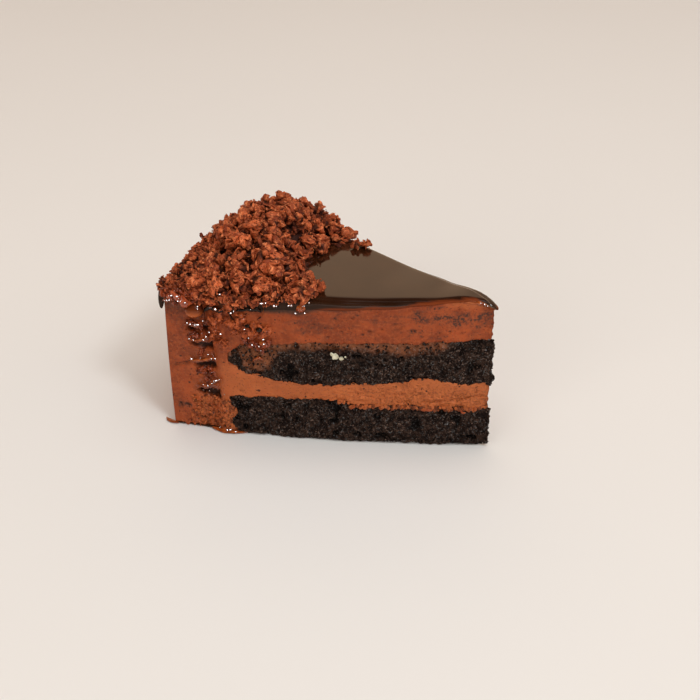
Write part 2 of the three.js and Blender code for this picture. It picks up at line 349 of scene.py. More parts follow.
def raised(height, depth_mm, strength=1.0, under=None):
    given = {"Height": height, "Distance": depth_mm * 0.001, "Strength": strength}
    if under is not None:
        given["Normal"] = under
    return added(height.id_data, "ShaderNodeBump", given).outputs["Normal"]


def painted_value(tree, name):
    return added(tree, "ShaderNodeAttribute", {}, attribute_name=name).outputs["Fac"]


def coordinates(piece):
    co = np.empty(len(piece.data.vertices) * 3, np.float32)
    piece.data.vertices.foreach_get("co", co)
    return co.reshape(-1, 3) * 1000.0


def paint(piece, name, values):
    layer = piece.data.attributes.new(name, "FLOAT", "POINT")
    layer.data.foreach_set("value", np.asarray(values, np.float32))


def from_tip(p):
    return np.hypot(p[..., 0] - CAKE_RADIUS / 2, p[..., 1])


def behind_cut(p, t):
    """How deep a point lies behind the near cut's own face (t 0) or the far one (t 1)."""
    return -(p - [CAKE_RADIUS / 2, 0, 0]) @ outward(t) - (NEAR_CUT(from_tip(p)) if t == 0 else 0)


def sponge_finish(name, smear=False):
    """Moist, nearly black crumb: browner on the grains, with painted shade blackening its holes and hollows,
    and small wet sparkles.
    """
    made, tree, shader = surface(name)
    grain = spread(lumpy(tree, 1.7, 4), 0.41, 0.60)
    # holes: near-black spots of painted shade, where the crumb's holes lie in shadow
    holes = spread(lumpy(tree, 0.7, 2, shift=1.9), 0.38, 0.50, 0.8, 0.0)
    specks = spread(lumpy(tree, 0.6, 2, shift=3.1), 0.57, 0.68)
    speckled = spread(lumpy(tree, 2.4, 2, shift=6.6), 0.40, 0.62, 0.15, 1.0)
    tone = layered(
        blended(grain, (0.008, 0.0036, 0.0026), (0.038, 0.0205, 0.0142)),
        (holes, (0.004, 0.0017, 0.0012)),
        (combined("MULTIPLY", specks, speckled), (0.165, 0.105, 0.080)),
        # painted shade, black in the crumb's deepest hollows
        (painted_value(tree, "painted_hollow_shade"), (0.003, 0.0014, 0.001)),
    )
    if smear:
        tone = blended(painted_value(tree, "smear"), tone, (0.235, 0.080, 0.036))
    wet = spread(lumpy(tree, 0.7, 2, shift=7.7), 0.57, 0.63)
    coarse = raised(lumpy(tree, 0.8, 3, 0.6, 1.7), 0.5, 0.9)
    feed(shader, {
        "Base Color": tone,
        "Roughness": spread(wet, 0, 1, 0.85, 0.16),
        "Specular IOR Level": spread(wet, 0, 1, 0.12, 1.0),
        "Normal": raised(lumpy(tree, 0.6, 0, 0.5, 5.1, "ShaderNodeTexVoronoi"), 0.3, 0.7, coarse),
    })
    return made


def dress(piece, node, finish):
    """Gives a piece its finish, and says which body it rides on and the node that it replaces."""
    piece.data.materials.clear()
    piece.data.materials.append(finish)
    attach(piece, "root")
    if node:
        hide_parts(node)


# Painted shade: 1 on the crumb that lies deep behind the cut faces, to blacken its hollows.
def paint_hollow_shade(sponge):
    p = coordinates(sponge)
    paint(sponge, "painted_hollow_shade", rise(0.1, 0.95, np.minimum(behind_cut(p, 0), behind_cut(p, 1))))


paint_hollow_shade(base_sponge)
dress(base_sponge, "sponge_base", sponge_finish("dark sponge"))


# ---- Mousse ----
# One milk-chocolate mousse, poured into a ring over the base sponge, with the second sponge sunk into it. It
# fills between and over the sponges and makes the smooth outer wall. The knife tore the wall's near end.

TOP_FLOOR = eased((0, 23.4), (8, 22.4), (20, 24), (36, 21.6), (55, 20.6), (68, 20.9), (77, 22.7), (84, 26))
TOP_ROOF = eased((0, 38.8), (14, 37.4), (30, 36.2), (55, 35.4), (70, 33.9), (79, 32.2), (84, 29.6))
MOUSSE_ROOF = eased((0, 48.8), (7, 51.9), (13, 51.4), (21, 50), (35, 48.2), (50, 47.2), (102, 46.8))
WALL_LEAN, WALL_BULGE, WALL_TOP = 1.0, 0.35, 47
WALL_STEPS = 190  # round the outer wall, from cut to cut

# The torn strip's two edges at each height, and how far it stands out: ledges, with dark gaps under them.
TEAR_RIGHT = eased((0, 85.6), (13, 86.9), (20, 88), (26, 88.4), (31, 89.4), (38, 90.3), (46, 90.6))
TEAR_LEFT = eased((0, 94), (13, 94.7), (16.5, 96.2), (20, 94.9), (25, 97), (30, 96.8), (35, 97.6), (46, 97.4))
TORN_FACE = eased(
    (0, 0), (10, 0.3), (11.2, 0.1), (12, -1.6), (13.9, -1.8), (14.5, 0.9), (16, 1.0), (17.4, 0.1),
    (21.6, 0.2), (22.4, -1.5), (24, -1.4), (24.5, 1.0), (25.6, 0.9), (26.8, 0.1), (28.9, 0.2), (29.6, -1.3),
    (31, -1.2), (31.5, 0.8), (32.6, 0.7), (34.8, 0.2), (35.6, -1.5), (37, -1.4), (37.5, 0.8), (38.8, 0.5),
    (41, 0), (46, 0),
)

# Dark flecks on the near cut, where the knife laid bare bubbles and bits of chocolate, and two deep holes
# near the foot: s, z, half width, half height. The flecks are dented, their dark partly painted shade in the
# dents.
FLECKS = (
    (38.3, 40.3, 0.7, 0.3), (40.6, 39.1, 0.6, 0.3), (47.0, 39.9, 0.4, 0.3), (51.4, 37.6, 0.5, 0.35),
    (43.9, 44.6, 0.35, 0.3), (49.2, 44.4, 0.35, 0.35), (16.8, 40.6, 0.45, 0.35), (9.7, 40.7, 0.4, 0.3),
    (13.5, 41.2, 0.35, 0.3), (25.2, 41.1, 0.8, 0.45), (30.5, 43.2, 0.4, 0.3), (34.6, 41.2, 0.35, 0.3),
    (56.0, 42.0, 0.35, 0.3), (22.0, 18.6, 0.45, 0.3),
)
HOLES = ((101.0, 7.0, 0.55, 0.8), (98.3, 7.1, 0.75, 0.6))


def ridge(across, wide):
    """1 along a line, fading to both sides within about this width."""
    return np.exp(-((across / wide) ** 2))


def spot(r, z, place):
    """1 at the heart of a spot, fading outwards; its place is s, z, half width and half height."""
    s, h, wide, tall = place
    return np.exp(-(((r - s) / wide) ** 2 + ((z - h) / tall) ** 2))


def torn_share(p, r):
    """1 on the torn strip, 0 off it, with a wandering edge."""
    z = p[..., 2]
    wander = 0.9 * lumps(p * [0, 0, 1] + 3, 4, 64) + 0.6 * lumps(p * [0, 0, 1] + 3, 1.5, 65)
    across = rise(-0.6, 0.7, r - TEAR_RIGHT(z) + 0.5 * wander) * fall(-2.2, 0.5, r - TEAR_LEFT(z) + wander)
    return across * fall(39.5, 41.5, z)


def crumbly_foot(p, r):
    """1 where the mousse beside the base sponge crumbled instead of cutting clean."""
    z = p[..., 2] + 0.9 * lumps(p, 2.5, 56)
    spill = 5.5 * fall(0.5, 3.5, z)
    return band(r, 80.5, 82, 93.5 + spill, 96 + spill) * fall(10.4, 11.8, z)


def crease(r, z, wide):
    """1 along the short crease between the torn strip and the wall."""
    return band(r, 95.5, 97, 101.5, 103) * ridge(z - 23.6 + (r - 97) * 0.35, wide)


def near_cut_face(p, r, z):
    """What the knife did to the near cut: the torn strip, the crumbled foot, and single flecks and holes."""
    upright = p * [0, 0, 1]
    face = 0.16 * rise(37, 42, z) * lumps(p * [1, 1, 3.5], 4.5, 75)
    torn = torn_share(p, r)
    ledge = z + 0.3 * (r - 91) * lumps(upright + 5, 5, 59) + 0.6 * lumps(p, 2.8, 66) + 0.5 * lumps(p, 1.2, 67)
    face += (1.05 + 0.7 * lumps(p, 3, 53)) * torn * TORN_FACE(ledge)
    porous = torn * (band(z, 18, 19, 21.5, 22.5) + band(z, 32.5, 33.5, 35, 35.5))
    face += porous * (0.5 - grains(p, 1.5, 68) + 0.45 * lumps(p, 0.8, 69))
    face += torn * 0.4 * lumps(p * [1, 1, 2.5], 1.6, 58)
    crack = ridge(r - TEAR_RIGHT(z) + 0.2 - 0.7 * lumps(upright, 6, 57), 0.35)
    face -= crack * (0.4 + 1.1 * lumps(upright, 4.5, 52)) * band(z, 9, 13, 44, 47)
    face += crumbly_foot(p, r) * (0.3 + 1.7 * (0.5 - grains(p, 1.35, 55)) + 0.7 * lumps(p, 0.8, 54))
    lower = band(z, 13.5, 14.5, 17.5, 21) * fall(46, 60, r)
    face += lower * (0.4 * lumps(p, 0.9, 70) - 0.5 * rise(0.35, 0.7, lumps(p * [1, 1, 2.2], 2.2, 77)))
    face -= 0.7 * ridge(z - 18.6 + 0.175 * r - 0.5 * lumps(p, 6, 78), 0.35) * band(r, 1, 3, 19, 23)
    face -= 0.8 * sum(spot(r, z, place) for place in FLECKS)
    face -= 1.3 * sum(spot(r, z, place) for place in HOLES)
    return face - 0.6 * crease(r, z, 0.4)


def mousse_face(p, t, r):
    """Smooth where the knife ran clean, with burst bubbles."""
    face = 0.12 * lumps(p, 7, 61) + 0.07 * lumps(p, 1.6, 62) + 0.05 * lumps(p, 0.8, 60)
    face -= 0.35 * rise(0.72, 0.86, lumps(p, 1.9, 63))
    face = face + (near_cut_face(p, r, p[..., 2]) if t == 0 else 0.2 * rise(82, 90, r) * lumps(p, 3, 70))
    moved = face[..., None] * outward(t)
    ragged = 0.7 + 0.3 * lumps(p, 1.3, 79) + 0.25 * lumps(p, 0.6, 80)
    moved[..., 0] += ragged * np.exp(-(r - TIP_RADIUS) / 1.0)
    return moved


def wall_profile(z):
    """The wall leans out a little towards the top and bulges in the middle."""
    return WALL_LEAN * (z / (WALL_TOP + 1) - 0.5) + WALL_BULGE * np.sin(np.pi * np.clip(z / WALL_TOP, 0, 1))


def wall_swell(p, t):
    """The wall was lined with a strip of film, so it is smooth, with soft dents and a few burst bubbles."""
    z = p[:, 2]
    bubbles = 0.3 * rise(0.78, 0.9, lumps(p, 1.8, 73))
    return wall_profile(z) + 0.13 * lumps(p, 11, 71) + 0.05 * lumps(p, 3, 72) - bubbles


MOUSSE_COLUMNS = 205  # from the tip to the sponges' curved ends
MOUSSE_ROWS = (40, 26, 38, 38)  # beside the base sponge, over it, beside the top sponge, over that
TOP_SEED, TOP_ROWS = 5, 56


def mousse_layer():
    r = np.concatenate([
        np.linspace(TIP_RADIUS, SPONGE_RADIUS + 0.3, MOUSSE_COLUMNS),
        np.linspace(84, 97, 59),
        np.linspace(97.5, CAKE_RADIUS, 13),
    ])
    ends, last = MOUSSE_COLUMNS - 1, len(r) - 1
    sponge_lines = ((BASE_ROOF, BASE_SEED + 2), (TOP_FLOOR, TOP_SEED), (TOP_ROOF, TOP_SEED + 2))
    heights = []
    for side in (0, 1):
        lines = [crumbly(height, r, seed + side) for height, seed in sponge_lines]
        sheared = rows_between([np.zeros_like(r), *lines, MOUSSE_ROOF(r)], MOUSSE_ROWS)
        even = MOUSSE_ROOF(r)[:, None] * np.linspace(0, 1, sum(MOUSSE_ROWS) + 1)
        heights.append(sheared + (even - sheared) * rise(84, 97, r)[:, None])
    filled = np.ones((last, sum(MOUSSE_ROWS)), bool)
    base_top, middle_top, sponge_top, _ = np.cumsum(MOUSSE_ROWS)
    filled[:ends, :base_top] = filled[:ends, middle_top:sponge_top] = False

    def leaning(p, t, rr):
        away = np.append(plan(CAKE_RADIUS + 1, t) - plan(CAKE_RADIUS, t), 0)
        return mousse_face(p, t, rr) + (rise(97, CAKE_RADIUS, rr) * wall_profile(p[..., 2]))[..., None] * away

    rounds = {0: (TIP_STEPS, no_swell), ends: (END_STEPS, no_swell), last: (WALL_STEPS, wall_swell)}
    return wedge_layer("mousse_body", r, *heights, filled, leaning, rounds)


mousse = mousse_layer()


def mousse_finish():
    """Milk-chocolate mousse: satin, full of bubbles, with dark flecks, and wet where caramel soaked in;
    painted shade darkens its pores and clefts.
    """
    made, tree, shader = surface("milk chocolate mousse")
    # The bubbles and open pores are darkened in the colour as well as dented in the bump: painted shade in
    # them.
    pores = lumpy(tree, 0.8, 0, 0.5, 1.1, "ShaderNodeTexVoronoi")
    wet = painted_value(tree, "wet")
    shaded_open_cells = spread(lumpy(tree, 0.5, 3, 0.65, 8.3), 0.47, 0.38)
    shaded_open_cells = combined("MULTIPLY", shaded_open_cells, painted_value(tree, "foam"))
    in_crumbs = spread(lumpy(tree, 0.75, 2, shift=5.7), 0.44, 0.56, 0.3, 1.35)
    crumbled = combined("MULTIPLY", painted_value(tree, "smudge_and_shade"), in_crumbs, clamp=True)
    tone = layered(
        blended(spread(lumpy(tree, 8, 3), 0.35, 0.65), (0.222, 0.0385, 0.0086), (0.350, 0.066, 0.0148)),
        (spread(lumpy(tree, 3.2, 3, shift=9.1), 0.46, 0.68, 0.0, 0.4), (0.135, 0.033, 0.013)),
        (spread(lumpy(tree, 1.0, 3, shift=2.2), 0.45, 0.7, 0.0, 0.7), (0.36, 0.081, 0.0215)),
        # pale: lighter low down, partly painted bounce light from the table
        (painted_value(tree, "pale"), (0.50, 0.135, 0.038)),
        (spread(pores, 0.10, 0.30, 0.55, 0.0), (0.11, 0.024, 0.008)),
        (spread(lumpy(tree, 1.5, 1, shift=4.4), 0.70, 0.76), (0.05, 0.014, 0.007)),
        (shaded_open_cells, (0.19, 0.042, 0.011)),
        (painted_value(tree, "film"), (0.040, 0.024, 0.0150)),
        # smudge: dark crumb, and painted shade in the crease, the holes and the crumbled foot
        (crumbled, (0.066, 0.024, 0.0145)),
        (spread(painted_value(tree, "shade"), 0.2, 1.0, 0.0, 0.9), (0.075, 0.016, 0.005)),
        (wet, (0.16, 0.028, 0.007)),
        # painted shade in the torn strip's clefts and recesses
        (painted_value(tree, "painted_cleft_shade"), (0.034, 0.0105, 0.006)),
    )
    bubbles = raised(spread(pores, 0.0, 0.35), 0.25, 0.8)
    sunk = raised(shaded_open_cells, -0.4, 0.9, bubbles)
    feed(shader, {
        "Base Color": tone,
        "Roughness": spread(wet, 0.1, 0.8, 0.55, 0.07),
        "Specular IOR Level": spread(wet, 0.1, 0.8, 0.3, 0.6),
        "Normal": raised(lumpy(tree, 0.7, 3, 0.65, 6.1), 0.16, 0.8, sunk),
        "Subsurface Weight": 0.1, "Subsurface Radius": (1.0, 0.3, 0.12), "Subsurface Scale": 0.001,
    })
    return made


def film_edge(r):
    """How the lower edge of the glaze that was dragged over the cut wanders."""
    return 0.5 * lumps(on_line(r, 12), 5, 90)


spots = coordinates(mousse)
r, z, behind = from_tip(spots), spots[:, 2], behind_cut(spots, 0)
on_near = fall(2.5, 4, behind)
speckle = lumps(spots, 0.9, 88)

# The torn strip: wet on the lips of its ledges; painted shade, dark in the clefts under them and where the
# strip is recessed.
torn = torn_share(spots, r) * on_near * rise(10.5, 11.5, z)
wander = 0.5 * lumps(spots, 2.4, 50)
lips = sum(ridge(z - h, 0.9) for h in (15.5, 25.2, 32.2, 38.2))
clefts = sum(ridge(z - h - wander, wide) for h, wide in ((13.1, 1.3), (23.3, 1.0), (30.4, 1.0), (36.4, 0.8)))
paint(mousse, "wet", np.clip(torn * (0.4 + 0.8 * lips + 0.6 * lumps(spots, 2.4, 74) - 1.2 * clefts), 0, 1))
paint(mousse, "painted_cleft_shade", np.clip(torn * (rise(0.45, 1.3, behind) + clefts * (0.75 + 0.35 * speckle)), 0, 1))

# Dark crumb in the mousse: streaks under the glaze, a stain by the wall, spots and specks, and the wall's end
# darker towards the top; with painted shade along the crease, in the two deep holes and between the foot's
# grains.
streak = lumps(spots * [1, 1, 3.4], 6, 85) + 0.5 * lumps(spots * [1, 1, 2], 2, 86)
stain = 0.4 * ridge(r - 98.6, 1.7) * band(z, 23, 27, 33, 40) * on_near
pits = crumbly_foot(spots, r)
smudge_and_shade = (0.2 + 0.8 * rise(-0.1, 0.7, streak)) * fall(18, 27, r) * band(z, 42, 44.5, 47.5, 49)
smudge_and_shade += (0.45 + 0.2 * fall(20, 32, r)) * rise(0.1, 0.8, streak) * fall(60, 70, r) * rise(37, 40, z)
smudge_and_shade += (0.1 * rise(24, 38, z + 3 * lumps(spots, 7, 89)) + 0.35 * rise(36, 42, z)) * rise(90, 94, r)
# painted shade along the crease
smudge_and_shade += 0.6 * stain + crease(r, z, 0.45)
# painted shade between the grains of the crumbled foot, where the relief is lowest
shade_between_grains = 1.2 * rise(0.62, 1.0, grains(spots, 1.35, 55))
smudge_and_shade += pits * (shade_between_grains + 0.3 * rise(0.1, 0.7, lumps(spots, 0.8, 54)))
# the last two spots are the deep holes near the foot, painted dark as shade in them
for *place, dark in (  # s, z, half width, half height, and how dark
    (14.3, 46.1, 1.1, 0.6, 0.8), (11.2, 45.8, 1.6, 0.8, 1.0), (8.5, 47.2, 1.1, 0.9, 0.9),
    (4.8, 46.4, 1.0, 1.0, 0.9), (1.8, 46.9, 1.3, 1.3, 1.0), (17.5, 46.4, 1.3, 0.5, 0.6),
    (13.0, 44.9, 1.8, 0.45, 0.5), (6.6, 45.4, 1.4, 0.5, 0.7), (3.2, 45.2, 1.0, 0.5, 0.6),
    (9.9, 46.9, 0.8, 0.4, 0.6), (22.4, 44.6, 2.6, 0.7, 0.7), (25.2, 41.1, 1.2, 0.6, 0.8),
    (5.8, 42.9, 1.4, 0.9, 0.7), (33.0, 44.0, 2.0, 0.5, 0.4), (101.0, 7.0, 0.7, 0.9, 2.6),
    (98.3, 7.1, 0.9, 0.7, 2.8),
):
    smudge_and_shade += dark * (1 + 0.5 * speckle) * spot(r, z, place)
# the flecks darkened: partly dark chocolate, partly painted shade in their dents
for place in FLECKS:
    smudge_and_shade += 1.2 * spot(r, z, place)
pick = np.random.default_rng(41)
SPECKS = 90
for n in range(SPECKS):
    s, h, wide = 2 + 62 * pick.random(), 37.8 + 9.5 * pick.random() ** 1.3, 0.22 + 0.3 * pick.random() ** 2
    smudge_and_shade += (0.4 + 0.5 * pick.random()) * spot(r, z, (s, h, wide, 0.7 * wide))
paint(mousse, "smudge_and_shade", np.clip(smudge_and_shade * on_near * 0.85, 0, 1))

# A film of glaze dragged down from the upper edge.
under_roof = z - MOUSSE_ROOF(r)
thick = -0.6 + 0.6 * rise(40, 52, r) + 1.7 * rise(52, 62, r) + film_edge(r)
film = rise(-thick - 1.0, -thick + 0.5, under_roof) * fall(84, 90, r) * rise(13, 18, r)
# The wall's end is also darkened a few millimetres under its top.
film += 0.35 * rise(-5.8, -3.4, under_roof) * rise(94, 98, r)
paint(mousse, "film", film * (0.85 + 0.15 * speckle) * on_near)

# Between the sponges and at the foot the mousse is painted paler and is foamier: partly its own lighter tone,
# partly painted light thrown up from the pale table; the wall's end is paler low down.
foam = 0.65 * rise(48, 30, r) * fall(21, 24, z) * on_near * (0.6 + 0.4 * lumps(spots, 3, 49))
foam += 0.2 * band(z, 14, 15, 19, 23) * fall(80, 86, r)
paint(mousse, "foam", np.clip(foam, 0, 1))
pale = (1 - 0.22 * rise(45, 62, r)) * fall(24, 27, z) * fall(80, 88, r)
pale += 0.35 * fall(24, 32, z) * band(r, 80, 88, 90, 99) + 0.5 * pits * rise(0.2, 0.7, lumps(spots, 1.6, 51))
pale += 0.6 * rise(48.5, 50.5, z) * fall(12, 17, r) * on_near
on_cuts = fall(2.5, 4, np.minimum(behind, behind_cut(spots, 1)))
paint(mousse, "pale", pale * on_cuts * (0.8 + 0.2 * lumps(spots, 2.2, 87)))
dress(mousse, "mousse", mousse_finish())


# ---- Top sponge ----
# A second round of the same sponge, pressed into the mousse before it set. The knife dragged mousse over its
# upper edge, and laid bare a chip of nut.

top_sponge = sponge_layer("top_sponge", TOP_FLOOR, TOP_ROOF, TOP_ROWS, TOP_SEED)
paint_hollow_shade(top_sponge)
spots = coordinates(top_sponge)
r = from_tip(spots)
below_roof = TOP_ROOF(r) - spots[:, 2]
reach = 0.9 + 1.5 * rise(-0.6, 0.7, lumps(on_line(r, 9), 7, 81)) + 0.9 * lumps(spots, 1.5, 82)
reach += 1.4 * band(r, 13, 18, 34, 42) + 6.5 * band(r, 66, 71, 77, 81) * rise(0, 4, -spots[:, 1])
smear = fall(-1.6, 1.6, below_roof - reach) * rise(12.5, 16, r + 1.5 * lumps(spots, 2, 83))
paint(top_sponge, "smear", np.clip(smear * (0.72 + 0.28 * lumps(spots, 1.1, 84)), 0, 1))
dress(top_sponge, "sponge_top", sponge_finish("dark sponge with mousse", smear=True))


def shard(seed, finer=2, flat=0.7, long=1.0):
    """One broken lump with ridged, creased sides, one unit from heart to skin: its vertices and faces."""
    bm = bmesh.new()
    bmesh.ops.create_icosphere(bm, subdivisions=finer, radius=1)
    p = np.array([v.co[:] for v in bm.verts])
    corners = [[v.index for v in f.verts] for f in bm.faces]
    bm.free()
    pick = np.random.default_rng(seed)
    ridged = 0.5 - np.abs(lumps(p * [0.5, 1.1, 1.1] + seed, 0.5, seed + 2))
    skin = 0.9 + 0.36 * lumps(p + seed, 1.1, seed) + 0.36 * ridged + 0.14 * lumps(p + seed, 0.3, seed + 1)
    p = p * skin[:, None]
    return p * [long, 0.75 + 0.25 * pick.random(), flat * (0.8 + 0.4 * pick.random())], corners


def gathered(parts):
    """Several (vertices, faces, own coordinates) as one, each with its own tone from 0 to 1."""
    points, faces, tones, own = [], [], [], []
    for n, (p, f, *inner) in enumerate(parts):
        base = sum(map(len, points))
        faces += [[v + base for v in c] for c in f]
        points.append(p)
        tones.append(np.full(len(p), (n * 0.618 + 0.3) % 1))
        own.append((inner[0] if inner else p) + 11.0 * n)
    return np.concatenate(points), faces, np.concatenate(tones), np.concatenate(own)


def joined(name, parts, smooth=True):
    """Several parts as one mesh object."""
    points, faces, *_ = gathered(parts)
    return piece_from(name, points, faces, smooth)


def on_cut(s, z, out=0.0):
    """A place on the near cut: s from the tip along it, z up, and this far in front of it."""
    return np.append(plan(s, 0), z) + out * outward(0)


# Each shard's place on the cut, s and z, its size and its seed.
NUT_SHARDS = ((49.0, 31.2, 1.35, 4), (47.2, 30.6, 0.9, 6), (50.2, 31.9, 0.7, 8), (45.9, 31.2, 0.45, 9))
nut_shards = []
for s, z, size, seed in NUT_SHARDS:
    p, faces = shard(seed, 1, 0.9)
    nut_shards.append((p * size + on_cut(s, z, 0.1), faces))
nut_finish, tree, shader = surface("pale nut")
feed(shader, {
    "Base Color": blended(spread(lumpy(tree, 0.8, 2), 0.35, 0.65), (0.70, 0.66, 0.50), (0.46, 0.42, 0.28)),
    "Normal": raised(lumpy(tree, 0.4, 2, shift=1.0), 0.15, 0.6),
    "Roughness": 0.5,
})
dress(joined("nut_chip", nut_shards, smooth=False), None, nut_finish)


# ---- Glaze ----
# A dark mirror glaze of chocolate, cocoa and syrup, poured over the frozen mousse at blood heat. It set to a
# glass-smooth sheet with rounded edges, droops over the tip and runs a little way down the outer wall.

GAP, WALL_UNEVEN = 0.3, 0.125
GLAZE_ROOF = eased((0, 50.4), (4, 52.2), (9, 53), (20, 52), (40, 51.2), (102, 50.8))
WALL_FACE = CAKE_RADIUS + GAP + WALL_UNEVEN + WALL_LEAN / 2
GLAZE_EDGE, GLAZE_LIP, GLAZE_DRIP = 1.5, 1.35, 2.6


def quads(ids):
    """Four-cornered faces over a grid of vertex numbers."""
    return np.stack([ids[:-1, :-1], ids[1:, :-1], ids[1:, 1:], ids[:-1, 1:]], -1).reshape(-1, 4).tolist()


def fan_body(name, radii, across, levels, floor, roof, push):
    """A closed body on the fan, from a floor to a roof over (r, t), with its walls pushed outwards."""
    ni, nj, nk = len(radii) - 1, len(across) - 1, len(levels) - 1
    rr, tt = np.meshgrid(radii, across, indexing="ij")
    flat = plan(rr, tt)
    low, high = floor(rr, tt), roof(rr, tt)
    grid = np.empty((ni + 1, nj + 1, nk + 1, 3))
    grid[..., :2] = flat[:, :, None]
    grid[..., 2] = low[..., None] + (high - low)[..., None] * levels
    away = np.zeros((ni + 1, nj + 1, 2))
    away[:, 0] += outward(0)[:2]
    away[:, -1] += outward(1)[:2]
    from_axis = flat - [CAKE_RADIUS / 2, 0]
    along = from_axis / np.maximum(np.linalg.norm(from_axis, axis=-1), 1e-6)[..., None]
    away[0] -= along[0]
    away[-1] += along[-1]
    away /= np.maximum(np.linalg.norm(away, axis=-1), 1e-9)[..., None]
    on_wall = np.zeros((ni + 1, nj + 1), bool)
    on_wall[[0, -1]] = on_wall[:, [0, -1]] = True
    shift = push(rr[..., None], tt[..., None], levels) * on_wall[..., None]
    grid[..., :2] += shift[..., None] * away[:, :, None]
    ids = np.arange(grid[..., 0].size).reshape(grid.shape[:3])
    sides = (ids[:, :, 0], ids[:, :, -1], ids[0], ids[-1], ids[:, 0], ids[:, -1])
    return piece_from(name, grid.reshape(-1, 3), [face for side in sides for face in quads(side)])


def on_top(r, t):
    """The plan position as a place, for a pattern over the whole top."""
    return np.concatenate([plan(r, t), 0 * r[..., None]], -1)


def glaze_roof(r, t):
    edge = np.minimum(t, 1 - t) * 2 * HALF_ANGLE * r
    rounding = fall(0, GLAZE_EDGE * 0.85, edge)
    ripple = 0.05 * lumps(on_top(r, t), 17, 91)
    over_wall = 2.4 * rise(WALL_FACE - 3, WALL_FACE + GLAZE_LIP, r)
    return GLAZE_ROOF(r) - GLAZE_EDGE * rounding * 0.5 - over_wall + ripple


def glaze_floor(r, t):
    p = np.stack([t * 60, 0 * t, 0 * t], -1)
    longer = 0.8 * rise(-0.5, 0.9, lumps(p, 7.5, 92))
    run = GLAZE_DRIP * (0.45 + longer + 0.5 * rise(0.35, 0.8, lumps(p, 3.2, 93))) + 1.6 * ridge(t, 0.05)
    torn_edge = 1.0 + 1.0 * lumps(on_line(r, 3), 8, 97) + 0.9 * lumps(on_line(r, 3), 2.6, 98)
    dragged = np.where(t == 0, 1, 0) * rise(52, 66, r) * torn_edge
    on_wall = MOUSSE_ROOF(r) - run * np.where(r > WALL_FACE + 0.9, 0.75, 1)
    return np.where(r <= WALL_FACE, MOUSSE_ROOF(r) + 0.02 - dragged, on_wall)


def glaze_push(r, t, level):
    bulge = (0.5 + 0.8 * (t > 0.5)) * np.sin(np.pi * level) - 0.7 * rise(0.9, 1, level)
    droop = 0.9 * fall(0, 9, r) * rise(0, 0.6, level)
    wave = 0.15 * lumps(np.stack(np.broadcast_arrays(r, 40 * t, 0 * level), -1), 6, 94) * rise(0, 0.3, level)
    apron = np.where(t == 0, 0.35, 0) * rise(52, 66, r) * fall(0.5, 0.95, level)
    return np.where(r > WALL_FACE + 1, 0.3 * np.sin(np.pi * level), bulge + droop + apron + wave)


GLAZE_RADII = np.concatenate([
    [0.9, 1.7, 2.8, 4.2, 6, 8.5], np.linspace(11, 99, 45),
    [100.8, 102.3, WALL_FACE, WALL_FACE + 0.08, WALL_FACE + 0.9, WALL_FACE + GLAZE_LIP],
])
GLAZE_ACROSS = np.concatenate([
    [0, 0.012, 0.03, 0.06, 0.11], np.linspace(0.17, 0.83, 18), [0.89, 0.94, 0.97, 0.988, 1],
])
GLAZE_LEVELS = np.array([0, 0.1, 0.2, 0.28, 0.36, 0.55, 0.75, 0.92, 1])
glaze = fan_body("glaze_sheet", GLAZE_RADII, GLAZE_ACROSS, GLAZE_LEVELS, glaze_floor, glaze_roof, glaze_push)
rounded = glaze.modifiers.new("rounded", "SUBSURF")
rounded.levels = rounded.render_levels = 1


def glaze_finish():
    """Mirror glaze: black-brown and glassy, slightly dulled where the crumb dusted it."""
    made, tree, shader = surface("mirror glaze")
    dulled, smeared = painted_value(tree, "film"), painted_value(tree, "mousse")
    uneven = spread(lumpy(tree, 6, 4, shift=3.3), 0.3, 0.75, 0.05, 0.16)
    matt = combined("MAXIMUM", spread(dulled, 0.1, 0.9), smeared)
    feed(shader, {
        "Base Color": layered(
            blended(spread(lumpy(tree, 14, 2), 0.35, 0.7), (0.019, 0.0056, 0.0020), (0.027, 0.0082, 0.0029)),
            (dulled, (0.030, 0.015, 0.009)),
            (smeared, (0.175, 0.035, 0.0098)),
        ),
        "Roughness": combined("ADD", uneven, spread(dulled, 0.2, 0.9, 0.0, 0.5)),
        "Specular IOR Level": spread(matt, 0, 1, 0.48, 0.12),
        "Normal": raised(lumpy(tree, 7, 2, shift=5.3), 0.05, 0.35),
    })
    return made


spots = coordinates(glaze)
r, z, behind = from_tip(spots), spots[:, 2], behind_cut(spots, 0)
below_edge = GLAZE_ROOF(r) - 1.9 - film_edge(r) - z
at_near = fall(0.6, 1.6, behind)
corner = rise(100, 103, r) * fall(2, 7, behind) * fall(49, 50.4, z)
film = rise(-0.5, 0.9, below_edge) * at_near * rise(13, 18, r) * (1 - 0.5 * rise(84, 92, r))
paint(glaze, "film", np.clip(film + corner, 0, 1))
smear_line = on_line(r, 14)
reach = 0.75 + 0.2 * rise(14, 20, r) + 0.25 * lumps(smear_line, 6, 47) + 0.2 * lumps(smear_line, 2, 46)
reach -= 1.2 * rise(50, 58, r)
paint(glaze, "mousse", fall(-0.25, 0.25, z - MOUSSE_ROOF(r) - reach) * at_near * fall(56, 60, r))
dress(glaze, "glaze", glaze_finish())


# ---- Flake heap ----
# Wafer flakes, baked thin, crushed and tossed in milk chocolate, which glued them into clusters. They were
# heaped by hand along the outer edge while the glaze was still soft, so the lowest are stuck in it.

HEAP_START, HEAP_HEIGHT = 60.0, 11.8


def heap_start(t):
    return HEAP_START - 4 + 9 * rise(0, 0.6, t)


def low_rim(r, t):
    """1 where the heap thins out to single flakes along the near part of the outer rim."""
    return rise(93, 101, r) * fall(0.3, 0.46, t)


